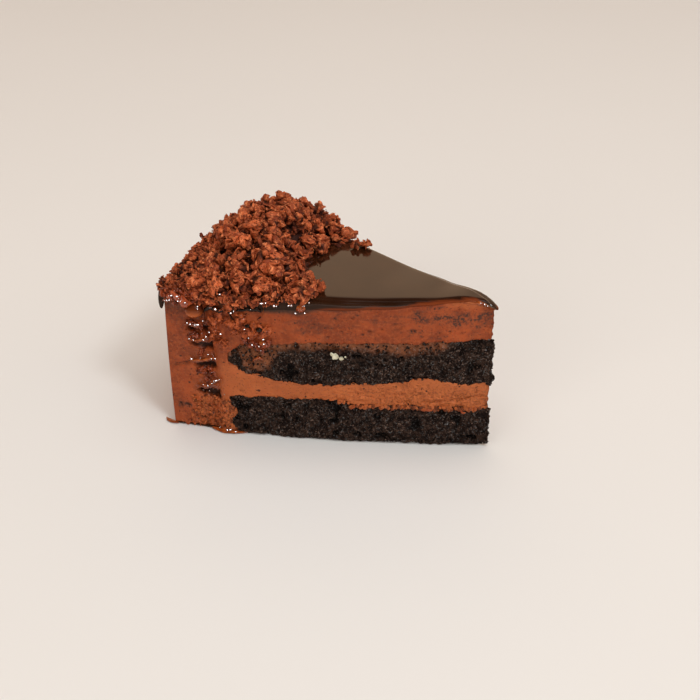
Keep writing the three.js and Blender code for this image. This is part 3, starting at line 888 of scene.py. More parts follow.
def mound(r, t):
    start, crest = heap_start(t), 77.6 + 9.6 * rise(0.15, 0.5, t)
    run = rise(start - 1, start + 17, r) * (1 - 0.86 * rise(crest, crest + 16.6, r))
    sides = rise(-0.1, 0.45, t) * (1 - 0.8 * rise(0.65, 1.05, t))
    return 0.4 + HEAP_HEIGHT * run * (0.12 + 0.88 * sides) * (1 - 0.9 * low_rim(r, t))


def bed_roof(r, t):
    p = on_top(r, t)
    bumps = 1.2 * lumps(p, 3.4, 95) + 0.8 * lumps(p, 1.5, 96)
    return GLAZE_ROOF(r) + np.maximum(mound(r, t) - 3.3, 0.1) + bumps


heap_bed = fan_body(
    "flake_bed", np.linspace(HEAP_START + 4, CAKE_RADIUS - 2.5, 100), np.linspace(0.04, 0.96, 140),
    np.array([0, 0.5, 1]), lambda r, t: GLAZE_ROOF(r) - 1.5 + 0 * t, bed_roof,
    lambda r, t, level: 0 * (r + t + level),
)


FLAKE_THICK = 0.13


def curled_flake(seed):
    """One thin curled wafer flake with a ragged outline and a ridged skin, about 2 units across."""
    pick = np.random.default_rng(seed)
    nu, nv = 7, 5
    u, v = np.meshgrid(np.linspace(-1, 1, nu), np.linspace(-0.65, 0.65, nv), indexing="ij")
    spin = np.stack([u, v, 0 * u], -1)
    reach = 1 + 0.3 * lumps(spin + seed, 0.55, seed) - 0.25 * (np.abs(u) ** 3) * (np.abs(v) / 0.65) ** 2
    curl, twist = 0.75 * (pick.random() - 0.25), 0.9 * (pick.random() - 0.5)
    bend = curl * u * u + twist * u * v + 0.16 * lumps(spin + seed, 0.5, seed + 3)
    middle = np.stack([u * reach, v * reach, bend], -1)
    top, under = middle.copy(), middle.copy()
    top[..., 2] += FLAKE_THICK * (0.6 + 0.5 * pick.random((nu, nv)))
    under[..., 2] -= FLAKE_THICK * (0.6 + 0.5 * pick.random((nu, nv)))
    points = np.concatenate([top.reshape(-1, 3), under.reshape(-1, 3)])
    a = np.arange(nu * nv).reshape(nu, nv)
    b = a + a.size
    faces = quads(a) + [[q[0], *q[:0:-1]] for q in quads(b)]
    ring = [int(n) for n in (*a[:, 0], *a[-1, 1:], *a[-2::-1, -1], *a[0, -2:0:-1])]
    faces += [[ring[n], ring[n - 1], ring[n - 1] + a.size, ring[n] + a.size] for n in range(len(ring))]
    return points, faces


def turned(p, pick):
    q = pick.normal(size=4)
    q /= np.linalg.norm(q)
    w, x, y, z = q
    m = np.array([[1 - 2 * (y * y + z * z), 2 * (x * y - z * w), 2 * (x * z + y * w)],
                  [2 * (x * y + z * w), 1 - 2 * (x * x + z * z), 2 * (y * z - x * w)],
                  [2 * (x * z - y * w), 2 * (y * z + x * w), 1 - 2 * (x * x + y * y)]])
    return p @ m.T


def cluster(seed, heavy=2, broken=7, curls=4, small=3, big=1.0, finer=1):
    """A clump of flakes glued together by chocolate: broken pieces round a core, with thin chips stuck on."""
    pick = np.random.default_rng(seed)
    parts = []
    drawn_out = np.array([1.25, 0.95, 0.7])

    def add(shape, size, reach, least):
        p, f = shape
        away = pick.normal(size=3)
        away *= reach * (least + (1 - least) * pick.random()) / np.linalg.norm(away)
        parts.append((turned(p * size * big, pick) + away * drawn_out, f, p))

    for n in range(heavy):
        add(shard(seed * 11 + n, 2, 0.7, 1.3), 0.46 + 0.14 * pick.random(), 0.36 * (n > 0), 0.6)
    for n in range(broken):
        add(shard(seed * 17 + n, finer, 0.5, 1.7), 0.27 + 0.26 * pick.random() ** 1.3, 0.74, 0.55)
    for n in range(curls):
        add(curled_flake(seed * 7 + n), 0.38 + 0.3 * pick.random(), 0.72, 0.7)
    for n in range(small):
        add(shard(seed * 13 + n, 1, 0.6, 1.3), 0.10 + 0.10 * pick.random(), 0.98, 0.85)
    return gathered(parts)


def kinds(name, shapes, smooth=False):
    """A collection of the shapes that a scatter picks from, one unit from heart to skin."""
    made = bpy.data.collections.new(name)
    for n, shape in enumerate(shapes):
        clump = len(shape) == 4
        p, f, tone, own = shape if clump else gathered([shape])
        # inner: 1 near a clump's heart, for the painted shade there where its pieces shade each other
        inner = fall(0.42, 0.84, np.linalg.norm(p / [1.1, 0.95, 0.8], axis=1)) if clump else np.zeros(len(p))
        one = piece_from(f"{name}_{n:02d}", p * 1000, f, smooth)
        paint(one, "tone", tone)
        paint(one, "pale", np.full(len(p), 0.6))
        paint(one, "inner", inner)
        layer = one.data.attributes.new("own", "FLOAT_VECTOR", "POINT")
        layer.data.foreach_set("vector", (own + 5.0 * n).astype(np.float32).ravel())
        bpy.context.collection.objects.unlink(one)
        made.objects.link(one)
    return made


def strewing_tree():
    """Geometry Nodes: one shape at each point, turned at random, sized by the point, made real."""
    tree = bpy.data.node_groups.new("strewn pieces", "GeometryNodeTree")
    sockets = {"Points": "Geometry", "Shapes": "Collection", "Seed": "Int", "Finish": "Material"}
    for name, kind in sockets.items():
        tree.interface.new_socket(name=name, in_out="INPUT", socket_type="NodeSocket" + kind)
    tree.interface.new_socket(name="Pieces", in_out="OUTPUT", socket_type="NodeSocketGeometry")
    given = tree.nodes.new("NodeGroupInput").outputs
    apart = {"Separate Children": True, "Reset Children": True}
    shapes = added(tree, "GeometryNodeCollectionInfo", apart | {"Collection": given["Shapes"]})
    draw, seed = "FunctionNodeRandomValue", {"Seed": given["Seed"]}
    no_turn, full_turn, many = (0, 0, 0), (6.283, 6.283, 6.283), 999
    turn = added(tree, draw, {0: no_turn, 1: full_turn, **seed}, data_type="FLOAT_VECTOR")
    which = added(tree, draw, {4: 0, 5: many, **seed}, data_type="INT")
    shade = added(tree, draw, seed)
    size = added(tree, "GeometryNodeInputNamedAttribute", {"Name": "size"}, data_type="FLOAT")
    placed = added(tree, "GeometryNodeInstanceOnPoints", {
        "Points": given["Points"], "Instance": shapes.outputs[0], "Pick Instance": True,
        "Instance Index": which.outputs[2], "Rotation": turn.outputs[0], "Scale": size.outputs[0],
    })
    shaded = {"Geometry": placed.outputs[0], "Name": "shade", "Value": shade.outputs[1]}
    stored = added(tree, "GeometryNodeStoreNamedAttribute", shaded, data_type="FLOAT", domain="INSTANCE")
    real = added(tree, "GeometryNodeRealizeInstances", {0: stored.outputs[0]})
    skin = added(tree, "GeometryNodeSetMaterial", {"Geometry": real.outputs[0], "Material": given["Finish"]})
    added(tree, "NodeGroupOutput", {0: skin.outputs[0]})
    return tree


STREWING = strewing_tree()


def strewn(name, where, shapes, seed, finish, node="flake_heap"):
    """A plain mesh of shapes from a collection, one at each place in the size given (mm), and its finish."""
    places, sizes = where
    mesh = bpy.data.meshes.new(name)
    mesh.from_pydata((np.asarray(places) * 0.001).tolist(), [], [])
    made = bpy.data.objects.new(name, mesh)
    paint(made, "size", np.asarray(sizes, np.float32) * 0.001)
    bpy.context.collection.objects.link(made)
    pass_through = made.modifiers.new("strewing", "NODES")
    pass_through.node_group = STREWING
    ids = {s.name: s.identifier for s in STREWING.interface.items_tree if s.in_out == "INPUT"}
    pass_through[ids["Shapes"]], pass_through[ids["Seed"]], pass_through[ids["Finish"]] = shapes, seed, finish
    whole = bpy.data.meshes.new_from_object(made.evaluated_get(bpy.context.evaluated_depsgraph_get()))
    made.modifiers.clear()
    made.data = whole
    made.data.name = name
    dress(made, node, finish)


def along_flake(tree):
    """Noise drawn out along each flake's own length, for its ridges."""
    own = added(tree, "ShaderNodeAttribute", {}, attribute_name="own").outputs["Vector"]
    drawn_out = added(tree, "ShaderNodeMapping", {"Scale": (0.35, 1.0, 1.0), "Vector": own}).outputs["Vector"]
    given = {"Scale": 4.5, "Detail": 2.0, "Vector": drawn_out}
    return added(tree, "ShaderNodeTexNoise", given).outputs[0]


def flake_finish(name, deep, fair, tan, dry=0.6):
    """Milk-chocolate coating on wafer: ridged, each flake lighter or darker, paler where it is thin, with
    painted shade in its creases and towards a clump's heart.
    """
    made, tree, shader = surface(name)
    ridges = along_flake(tree)
    coarse = raised(ridges, 0.5, 0.8)
    feed(shader, {
        "Base Color": layered(
            blended(painted_value(tree, "tone"), deep, fair),
            (spread(painted_value(tree, "shade"), 0, 1, 0, 0.5), deep),
            (spread(lumpy(tree, 1.4, 3), 0.5, 0.7), tan),
            # painted shade in the creases between the ridges
            (spread(ridges, 0.47, 0.33), (0.055, 0.009, 0.003)),
            # painted shade towards the heart of a clump
            (spread(painted_value(tree, "inner"), 0, 0.85, 0, 0.96), (0.035, 0.006, 0.002)),
        ),
        "Roughness": spread(lumpy(tree, 1.1, 2, shift=4.9), 0.4, 0.7, dry + 0.1, dry - 0.18),
        "Normal": raised(lumpy(tree, 0.3, 2, 0.6, 3.7), 0.1, 0.5, coarse),
        "Specular IOR Level": 0.3,
    })
    return made


coated = flake_finish("coated flakes", (0.23, 0.037, 0.010), (0.74, 0.165, 0.051), (0.86, 0.26, 0.097))
# The three below are darker copies of the coating: painted shade for the bed deep in the heap, the flakes in
# the gaps and the lower flakes.
shadowed = flake_finish("deep flakes in painted shade", (0.035, 0.006, 0.002), (0.05, 0.009, 0.003), (0.09, 0.02, 0.007), 0.7)
between = flake_finish(
    "flakes in painted shade in the gaps", (0.14, 0.022, 0.006), (0.42, 0.085, 0.026), (0.50, 0.13, 0.045), 0.62,
)
lower = flake_finish("lower flakes in painted shade", (0.07, 0.011, 0.003), (0.19, 0.035, 0.010), (0.26, 0.06, 0.02), 0.65)


def heap_places(spacing, low, high, lift, seed, edge=0.03, start=0.0):
    """Places over the mound, row by row outwards in a jittered pattern, and a size for each."""
    pick = np.random.default_rng(seed)
    places, sizes = [], []
    r = HEAP_START - 4
    while r < CAKE_RADIUS:
        n = max(2, round(2 * HALF_ANGLE * r / spacing))
        for t in np.clip((np.arange(n + 1) + 0.8 * (pick.random(n + 1) - 0.5)) / n, edge, 1 - edge):
            rr = min(r + spacing * 0.8 * (pick.random() - 0.5), CAKE_RADIUS - 0.8)
            if rr < heap_start(t) + start:
                continue
            thin = low_rim(rr, t)
            size = (low + (high - low) * pick.random()) * (1 - 0.15 * rise(90, CAKE_RADIUS - 2, rr))
            size *= 1 - 0.25 * thin
            up = min(lift[0] + (lift[1] - lift[0]) * pick.random(), 4.5 - 1.1 * size) * (1 - thin)
            z = GLAZE_ROOF(rr) + mound(rr, t) + (up - 0.75 * size * thin)
            places.append([*plan(rr, t), z])
            sizes.append(size)
        r += spacing * 0.86
    return np.array(places), np.array(sizes)


def edge_places():
    """Flakes that overhang the near cut under the heap: thick at the wall, single ones towards the tip."""
    pick = np.random.default_rng(33)
    all_along = CAKE_RADIUS - 1 - 42 * pick.random(40) ** 1.15
    at_wall = 88 + 15 * pick.random(26)
    s = np.concatenate([all_along, at_wall])
    size = (1.2 + 1.3 * pick.random(len(s))) * (1 - 0.3 * (s < 74))
    out = 0.2 + 0.7 * pick.random(len(s)) - 0.3 * (s > 98)
    z = 47.9 + 2.9 * pick.random(len(s)) + 0.8 * (s < 70) - 2.4 * pick.random(len(s)) * (s > 88)
    return np.concatenate([plan(s, 0), z[:, None]], -1) + out[:, None] * outward(0), size


def rim_places():
    """Single flakes pressed into the glaze along the near part of the outer rim."""
    pick = np.random.default_rng(29)
    count, at_corner = 95, 16
    r, t = CAKE_RADIUS - 0.4 - 9 * pick.random(count) ** 1.3, 0.01 + 0.5 * pick.random(count)
    size = (1.4 + 1.3 * pick.random(count)) * (1 - 0.3 * rise(0.16, 0.08, t))
    lift = GLAZE_ROOF(r) - 2.0 * rise(100, CAKE_RADIUS, r) + 0.5 * size * pick.random(count) + 0.3
    r[:at_corner] = 102.6 + 1.2 * pick.random(at_corner)
    t[:at_corner] = 0.12 * pick.random(at_corner)
    lift[:at_corner] = 49.2 + 1.6 * pick.random(at_corner)
    return np.concatenate([plan(r, t), lift[:, None]], -1), size


clusters = kinds("cluster", [cluster(100 + n, finer=2) for n in range(18)], smooth=True)
lumps_only = kinds("lump", [cluster(150 + n, 1, 5, 2, 2) for n in range(8)])
folded = kinds("folded", [cluster(190 + n, 2, 3, 6, 2, 1.15) for n in range(8)], smooth=True)
underneath = kinds("under", [cluster(170 + n, 3, 4, 1, 0) for n in range(10)])
chips = kinds("chip", [curled_flake(300 + n) for n in range(14)])
bits = kinds("bit", [shard(500 + n, 1, 0.6, 1.4) for n in range(10)])

# The bed is near black: painted shade deep in the heap.
dress(heap_bed, "flake_heap", shadowed)
for name, where, shapes, seed, skin in (
    ("flake_clusters", heap_places(5.7, 2.6, 3.9, (-0.9, 1.7), 21), clusters, 3, coated),
    ("flakes_below", heap_places(4.2, 1.8, 2.6, (-2.8, -1.1), 24, 0.02), underneath, 4, lower),
    ("flakes_between", heap_places(4.9, 1.2, 2.2, (-1.4, 1.1), 25, 0.02), lumps_only, 6, between),
    ("flake_chips", heap_places(7.4, 1.5, 2.3, (0.2, 2.2), 22, 0.03), chips, 5, coated),
    ("flake_bits", heap_places(6.6, 0.4, 0.9, (-0.3, 1.8), 23, 0.015, -1.0), bits, 7, coated),
    ("rim_flakes", rim_places(), lumps_only, 8, coated),
    ("edge_flakes", edge_places(), lumps_only, 9, coated),
):
    strewn(name, where, shapes, seed, skin)


# ---- Flakes and caramel on the near cut ----
# The knife dragged flakes and a soft caramel out of the heap, over the glaze's edge and down the cut, where
# they stuck in the mousse. A few stray flakes set in the glaze in front of the heap.


def wet_finish(name, deep, fair, dull, shine=0.5):
    """Soaked flakes, caramel or set glaze: mottled from deep to fair, and as glossy as dull is low."""
    made, tree, shader = surface(name)
    feed(shader, {
        "Base Color": blended(spread(lumpy(tree, 1.5, 3), 0.35, 0.65), deep, fair),
        "Roughness": spread(lumpy(tree, 1.2, 2, shift=2.7), 0.4, 0.6, dull, 0.04),
        "Normal": raised(lumpy(tree, 1.3, 2, shift=6.3), 0.25, 0.35 + dull),
        "Specular IOR Level": shine,
    })
    return made


soaked = wet_finish("soaked flakes", (0.10, 0.016, 0.005), (0.30, 0.054, 0.016), 0.3)
damp = wet_finish("damp flakes", (0.15, 0.026, 0.008), (0.48, 0.105, 0.032), 0.6, 0.25)
caramel = wet_finish("soft caramel", (0.20, 0.036, 0.007), (0.38, 0.090, 0.018), 0.06, 0.6)
feed(caramel.node_tree.nodes["Principled BSDF"], {
    "Subsurface Weight": 0.3, "Subsurface Radius": (0.0012, 0.0004, 0.0001),
})

# Each flake's place on the cut: s, z, out, and its size.
DRAGGED = (
    (91.4, 48.9, 0.5, 2.0), (87.6, 48.2, 0.8, 2.4), (84.2, 49.0, 0.6, 2.1), (80.6, 48.3, 0.9, 2.3),
    (76.8, 49.4, 0.5, 2.2), (73.8, 48.6, 0.6, 2.0), (70.2, 50.2, 0.4, 1.9), (67.2, 49.6, 0.5, 1.6),
    (63.5, 50.8, 0.2, 1.9), (60.5, 51.6, -0.6, 1.6), (95.0, 50.6, -0.2, 2.2), (89.2, 46.8, 0.6, 1.5),
    (78.6, 47.0, 0.8, 1.5), (103.0, 49.2, 0.0, 1.3), (102.6, 50.4, -1.2, 1.8), (99.6, 49.6, -0.4, 1.6),
    (102.0, 49.9, -0.8, 1.9), (97.4, 50.6, -0.6, 1.9), (93.4, 51.2, -0.6, 2.0),
)
MOIST = (
    (87.6, 40.6, 0.5, 2.6), (87.4, 37.6, 0.4, 2.4), (85.9, 42.8, 0.3, 2.0), (81.2, 40.2, 0.3, 2.3),
    (81.0, 37.8, 0.1, 2.2), (83.8, 41.2, -0.1, 1.8), (78.0, 41.8, 0.1, 2.3), (74.8, 40.0, 0.0, 2.6),
    (72.4, 37.2, 0.1, 2.6), (75.8, 36.6, 0.0, 2.4), (70.2, 38.6, -0.2, 2.0), (86.4, 33.4, -0.4, 2.0),
    (84.6, 32.4, -0.5, 1.7), (82.9, 46.6, 0.6, 1.8), (88.6, 33.8, -0.2, 1.5),
)
SOGGY = (
    (100.6, 47.6, 1.0, 2.2), (98.8, 46.4, 1.2, 2.2), (97.4, 45.2, 1.0, 1.6), (102.4, 46.6, 0.5, 1.5),
    (103.4, 46.2, 0.0, 1.1), (104.4, 48.4, -0.5, 1.5), (104.2, 47.2, -0.1, 1.1), (96.2, 47.0, 0.9, 2.2),
    (94.0, 47.2, 0.8, 1.8), (102.2, 49.2, 0.3, 2.0), (98.6, 49.4, 0.8, 2.2), (95.0, 48.8, 0.7, 2.0),
    (72.2, 33.6, 0.2, 2.2), (75.0, 33.4, 0.2, 2.1), (70.2, 34.6, -0.1, 1.7), (77.6, 34.8, -0.2, 1.6),
    (59.8, 47.6, 0.0, 1.9), (96.6, 37.9, 0.3, 1.2), (94.8, 37.8, 0.8, 1.5), (92.8, 37.9, 0.8, 1.4),
    (94.2, 33.8, 0.3, 1.7), (96.0, 32.9, 0.2, 1.2), (92.0, 20.8, 0.2, 1.8), (90.0, 21.6, 0.2, 1.4),
    (94.0, 20.0, -0.2, 1.2), (89.4, 19.6, 0.1, 1.2), (93.0, 27.6, -0.2, 1.4), (105.1, 50.0, -0.7, 1.1),
    (104.8, 49.2, -0.4, 1.2), (105.0, 50.8, -1.7, 1.3), (105.3, 49.5, -1.9, 1.1), (91.4, 17.8, 0.2, 1.2),
    (102.8, 49.0, 1.0, 1.9), (100.2, 49.3, 1.3, 2.1), (97.6, 48.2, 1.5, 1.9),
)
for name, given, shapes, seed, skin in (
    ("dragged_flakes", DRAGGED, clusters, 11, coated),
    ("moist_flakes", MOIST, folded, 12, damp),
    ("soggy_flakes", SOGGY, folded, 13, soaked),
):
    strewn(name, ([on_cut(*place) for *place, _ in given], [size for *_, size in given]), shapes, seed, skin)

STRAYS = ((54.5, 0.11, 1.4), (56.0, 0.2, 0.9), (56.8, 0.955, 1.2), (59, 0.9, 1.5))
stray_places = [np.append(plan(r, t), GLAZE_ROOF(r) + up) for r, t, up in STRAYS]
strewn("stray_flakes", (stray_places, [2.6, 1.5, 2.1, 1.8]), clusters, 14, coated, None)


def drop(seed, wide, tall):
    """A soft drop of caramel, wider than it is tall."""
    p, f = shard(seed, 3)
    p /= np.linalg.norm(p, axis=1)[:, None]
    return p * (1 + 0.13 * lumps(p + seed, 1.1, seed))[:, None] * [wide, wide * 0.8, tall], f


def along_cut(p):
    """Turns a shape's own axes into along the near cut, out of it and up."""
    return p @ np.array([[-math.cos(HALF_ANGLE), -math.sin(HALF_ANGLE), 0], outward(0), [0, 0, 1]])


def along_run(places, count):
    """Points along a run through a few places: how many places along each one is, and its numbers."""
    places = np.array(places, float)
    along = np.linspace(0, len(places) - 1, count)
    return along, np.stack([np.interp(along, range(len(places)), column) for column in places.T], -1)


def tube_faces(count, around):
    """Faces of a closed tube of count rings, with this many points in each."""
    ids = np.arange(count * around).reshape(count, around)
    nxt = np.roll(ids, -1, 1)
    sides = np.stack([ids[:-1], ids[1:], nxt[1:], nxt[:-1]], -1).reshape(-1, 4).tolist()
    return sides + [ids[0].tolist(), ids[-1].tolist()]


THREAD_STEPS, THREAD_ROUND = 8, 12


def thread(seed, places):
    """A lumpy run of caramel or glaze through a few (s, z, out, half width) places on the near cut."""
    along, mid = along_run(places, THREAD_STEPS * (len(places) - 1) + 1)
    taper = np.clip(np.sin(np.pi * along / along[-1]), 0, 1) ** 0.4
    wide = mid[:, 3] * (1 + 0.35 * lumps(on_line(along * 2.2, seed), 1.0, seed)) * taper
    heart = np.stack([mid[:, 0], mid[:, 2], mid[:, 1] + 0.3 * lumps(on_line(along, seed), 0.7, seed + 1)], -1)
    a = np.linspace(0, 2 * np.pi, THREAD_ROUND, endpoint=False)
    ring = np.stack([0 * a, 0.8 * np.cos(a), np.sin(a)], -1)
    rings = heart[:, None] + ring * np.maximum(wide, 0.02)[:, None, None]
    points = np.stack([on_cut(s, z, out) for s, out, z in rings.reshape(-1, 3)])
    return points, tube_faces(len(along), THREAD_ROUND)


def bead(seed, wide):
    """A flattened bead of syrup lying on a slope, as it stays where it ran to a stop."""
    p, f = drop(seed, wide, wide)
    p = p * [0.75 + 0.9 * ((seed * 0.618) % 1), 1, 1]
    slope = Vector((-0.315, 0.725, 0.614)).normalized()
    level = slope.cross((0, 0, 1)).normalized()
    return p @ np.array([level * 0.8, slope * 0.2, slope.cross(level) * 0.8]), f


def drops(name, places, threads=()):
    """Drops at (s, z, out, half width, half height) places, and threads, as one piece."""
    parts = []
    for n, (s, z, out, wide, tall) in enumerate(places):
        p, f = drop(700 + n, wide, tall)
        parts.append((along_cut(p) + on_cut(s, z, out - 0.35 * wide), f))
    return joined(name, parts + [thread(40 + n, run) for n, run in enumerate(threads)])


caramel_bits = drops("caramel_drops", (
    (59.8, 47.6, 0.6, 1.6, 1.5), (72.2, 34.4, 1.2, 1.1, 0.9), (82.9, 47.9, 1.2, 1.3, 1.1),
    (80.1, 48.2, 1.3, 1.0, 0.7), (62.9, 49.2, 0.6, 0.7, 0.4), (98.6, 46.4, 2.0, 1.2, 0.6),
    (97.0, 45.0, 1.8, 1.0, 0.6), (100.6, 48.0, 1.8, 1.0, 0.6), (95.6, 47.4, 1.8, 0.8, 0.7),
), (
    ((10.4, 51.0, -0.05, 0.3), (8.0, 51.5, 0.2, 0.5), (5.4, 51.5, 0.35, 0.6), (3.4, 51.0, 0.35, 0.5),
     (2.2, 50.4, 0.2, 0.3)),
    ((97.2, 24.9, 0.4, 0.3), (95.4, 24.9, 1.4, 0.5), (92.5, 25.4, 1.6, 0.55), (90.0, 26.0, 1.5, 0.5),
     (88.0, 26.5, 0.8, 0.35)),
    ((93.8, 16.0, 0.8, 0.3), (92.4, 16.2, 1.5, 0.4), (91.0, 16.0, 1.7, 0.35), (88.9, 17.7, 1.5, 0.45),
     (86.7, 19.4, 0.8, 0.4), (85.6, 19.8, 0.1, 0.25)),
    ((97.0, 37.9, 0.8, 0.3), (95.2, 37.9, 1.6, 0.45), (93.2, 38.0, 1.6, 0.45), (91.4, 39.2, 1.1, 0.35)),
    ((96.8, 32.6, 0.7, 0.3), (94.8, 32.3, 1.4, 0.4), (92.0, 32.6, 1.4, 0.4), (90.4, 33.8, 0.9, 0.3)),
    ((71.2, 50.6, 0.9, 0.7), (71.5, 48.8, 1.3, 1.0), (71.4, 47.0, 1.0, 0.7), (71.7, 45.2, 0.7, 0.5),
     (72.0, 43.6, 0.4, 0.3)),
    ((75.7, 26.8, 0.0, 0.3), (75.2, 28.0, 0.5, 0.5), (73.6, 28.9, 0.7, 0.45), (72.1, 28.5, 0.6, 0.6),
     (71.9, 27.0, 0.1, 0.4)),
    ((104.6, 45.3, 0.9, 0.35), (103.5, 46.0, 2.0, 0.55), (102.1, 46.6, 2.6, 0.6),
     (100.5, 46.8, 2.6, 0.35)),
))
dress(caramel_bits, None, caramel)

SYRUP_BEADS = (  # s, z, out, half width
    (98.4, 47.3, 2.7, 0.55), (98.1, 46.1, 2.8, 0.5), (99.0, 46.2, 2.7, 0.5), (97.3, 45.5, 2.6, 0.45),
    (96.8, 45.0, 2.5, 0.5), (100.7, 48.8, 2.5, 0.55), (102.6, 46.7, 3.1, 0.75), (103.4, 46.3, 2.5, 0.55),
    (101.8, 47.0, 3.1, 0.5), (100.9, 49.0, 4.0, 0.45), (98.3, 48.6, 4.7, 0.4), (96.4, 47.2, 4.4, 0.4),
    (96.0, 46.6, 4.1, 0.4), (99.8, 48.9, 3.9, 0.5), (97.8, 47.8, 4.7, 0.5), (98.7, 47.6, 4.5, 0.45),
    (96.9, 47.4, 4.5, 0.35), (99.0, 49.0, 4.0, 0.4), (97.2, 46.7, 4.6, 0.45), (96.7, 38.5, 1.5, 0.5),
    (95.7, 38.4, 2.1, 0.5), (94.0, 38.5, 2.4, 0.6), (93.2, 38.6, 2.4, 0.6), (91.5, 39.8, 1.9, 0.45),
    (89.6, 35.9, 1.8, 0.55), (85.4, 36.9, 1.8, 0.4), (96.4, 32.9, 1.5, 0.45), (95.0, 32.7, 1.9, 0.4),
    (91.7, 33.1, 2.0, 0.5), (90.8, 34.1, 1.7, 0.4), (96.0, 25.6, 1.7, 0.4), (89.3, 26.5, 2.2, 0.5),
    (88.0, 26.8, 1.6, 0.45), (90.5, 27.4, 1.2, 0.4), (92.4, 16.6, 2.1, 0.5), (90.9, 16.4, 2.3, 0.45),
    (89.4, 17.4, 2.3, 0.5), (88.7, 18.2, 2.2, 0.55), (87.9, 18.9, 2.0, 0.55), (86.7, 19.7, 1.5, 0.45),
    (92.9, 13.2, -0.4, 0.4), (89.6, 13.9, -0.4, 0.4), (91.0, 12.6, -0.9, 0.3), (71.8, 49.2, 2.4, 0.6),
    (70.6, 49.3, 2.2, 0.55), (68.1, 48.2, 1.4, 0.6), (71.6, 36.5, 2.3, 0.45), (75.3, 34.1, 1.9, 0.6),
    (73.1, 33.9, 2.1, 0.55), (71.5, 34.7, 2.1, 0.55), (76.4, 36.5, 1.9, 0.4), (85.2, 14.2, 0.6, 0.2),
    (4.4, 51.7, 0.8, 0.5), (3.3, 51.3, 0.9, 0.6), (2.3, 50.8, 0.9, 0.4), (85.1, 50.8, 1.6, 0.35),
    (67.3, 48.2, 1.5, 0.5), (63.4, 48.8, 1.5, 0.6), (62.6, 48.9, 1.5, 0.5), (61.3, 46.4, 1.7, 0.5),
    (58.5, 49.0, 1.6, 0.4), (57.1, 50.1, 1.4, 0.4), (58.4, 46.6, 1.7, 0.5), (86.8, 45.5, 2.4, 0.6),
    (88.6, 45.4, 2.4, 0.5), (80.9, 45.3, 1.8, 0.5), (81.8, 44.7, 2.0, 0.5), (77.6, 39.2, 1.6, 0.4),
    (75.4, 46.6, 1.9, 0.4), (92.9, 44.3, 2.5, 0.5), (92.9, 45.0, 2.3, 0.45), (84.6, 1.3, 2.0, 0.45),
    (83.6, 1.5, 1.9, 0.5), (81.7, 1.2, 2.4, 0.55), (87.4, 1.1, 1.5, 0.35),
)
beads = []
for n, (s, z, out, wide) in enumerate(SYRUP_BEADS):
    p, faces = bead(800 + n, wide * (0.5 + 0.75 * (n * 0.618 % 1)))
    beads.append((along_cut(p) + on_cut(s, z, out), faces))
syrup, tree, shader = surface("clear syrup")
feed(shader, {
    "Base Color": blended(lumpy(tree, 1.5, 2), (0.12, 0.022, 0.006), (0.22, 0.045, 0.012)),
    "Roughness": 0.03, "IOR": 1.9, "Specular IOR Level": 1.0,
})
dress(joined("syrup_beads", beads), None, syrup)

ball = drops("dipped_ball", ((94.4, 43.0, 1.7, 3.0, 2.6),))
spots = coordinates(ball)
paint(ball, "low", fall(41.2, 44.4, spots[:, 2] + 0.6 * lumps(spots, 1.6, 48)))
ball_finish = wet_finish("dipped ball", (0.09, 0.017, 0.005), (0.13, 0.026, 0.007), 0.05, 0.2)
tree = ball_finish.node_tree
feed(tree.nodes["Principled BSDF"], {
    "Base Color": blended(painted_value(tree, "low"), (0.10, 0.019, 0.005), (0.42, 0.098, 0.024)),
})
dress(ball, None, ball_finish)

dipped_lump = wet_finish("caramel over flakes", (0.20, 0.032, 0.010), (0.46, 0.095, 0.034), 0.14, 0.6)
dress(drops("syrupy_lump", (), (
    ((102.0, 49.4, 2.2, 0.8), (100.2, 48.8, 3.1, 1.4), (97.9, 47.5, 3.4, 1.7), (95.9, 46.3, 3.2, 1.3),
     (94.3, 45.8, 2.2, 0.6)),
    ((103.6, 47.5, 1.6, 0.4), (102.2, 47.7, 2.4, 0.9), (100.8, 47.5, 2.6, 0.6)),
)), None, dipped_lump)

set_glaze = wet_finish("set glaze", (0.006, 0.0026, 0.0014), (0.017, 0.0065, 0.003), 0.2, 0.22)
dress(drops("glaze_drips", (
    (82.1, 44.2, 0.9, 0.9, 0.8), (76.7, 40.2, 1.4, 0.9, 0.7), (66.8, 47.6, 0.2, 1.6, 0.7),
    (73.0, 39.4, 1.6, 1.0, 0.8), (71.2, 38.8, 1.4, 0.7, 0.5),
), (
    ((80.8, 44.4, 0.3, 0.4), (79.3, 45.3, 1.0, 0.6), (76.4, 46.4, 1.1, 0.7), (73.4, 46.5, 1.0, 0.7),
     (72.2, 45.4, 0.9, 0.6), (72.4, 43.6, 0.7, 0.45), (73.8, 42.4, 0.6, 0.3)),
    ((90.9, 38.8, 0.4, 0.5), (90.9, 41.0, 0.9, 0.7), (91.0, 43.6, 1.3, 0.9), (89.0, 45.0, 1.4, 0.9),
     (85.8, 44.8, 1.3, 0.8), (84.0, 44.6, 0.9, 0.5)),
    ((83.6, 45.4, 0.6, 0.4), (82.2, 44.0, 1.2, 0.6), (81.6, 42.6, 1.0, 0.5), (81.0, 41.6, 0.7, 0.35)),
    ((105.0, 42.6, -0.2, 0.4), (105.2, 44.0, 0.2, 0.6), (104.6, 45.6, 0.7, 0.6), (103.0, 46.8, 1.0, 0.5),
     (101.0, 47.2, 1.0, 0.4)),
)), None, set_glaze)


# ---- Caramel at the foot ----
# A little thin caramel ran down the torn end and out under the cake, where it lies as a flat amber puddle. A
# dark line in the glaze's colour along the foot is painted shadow in the gap under the cake's edge.

PUDDLE_STEPS, PUDDLE_ROUND = 60, 24


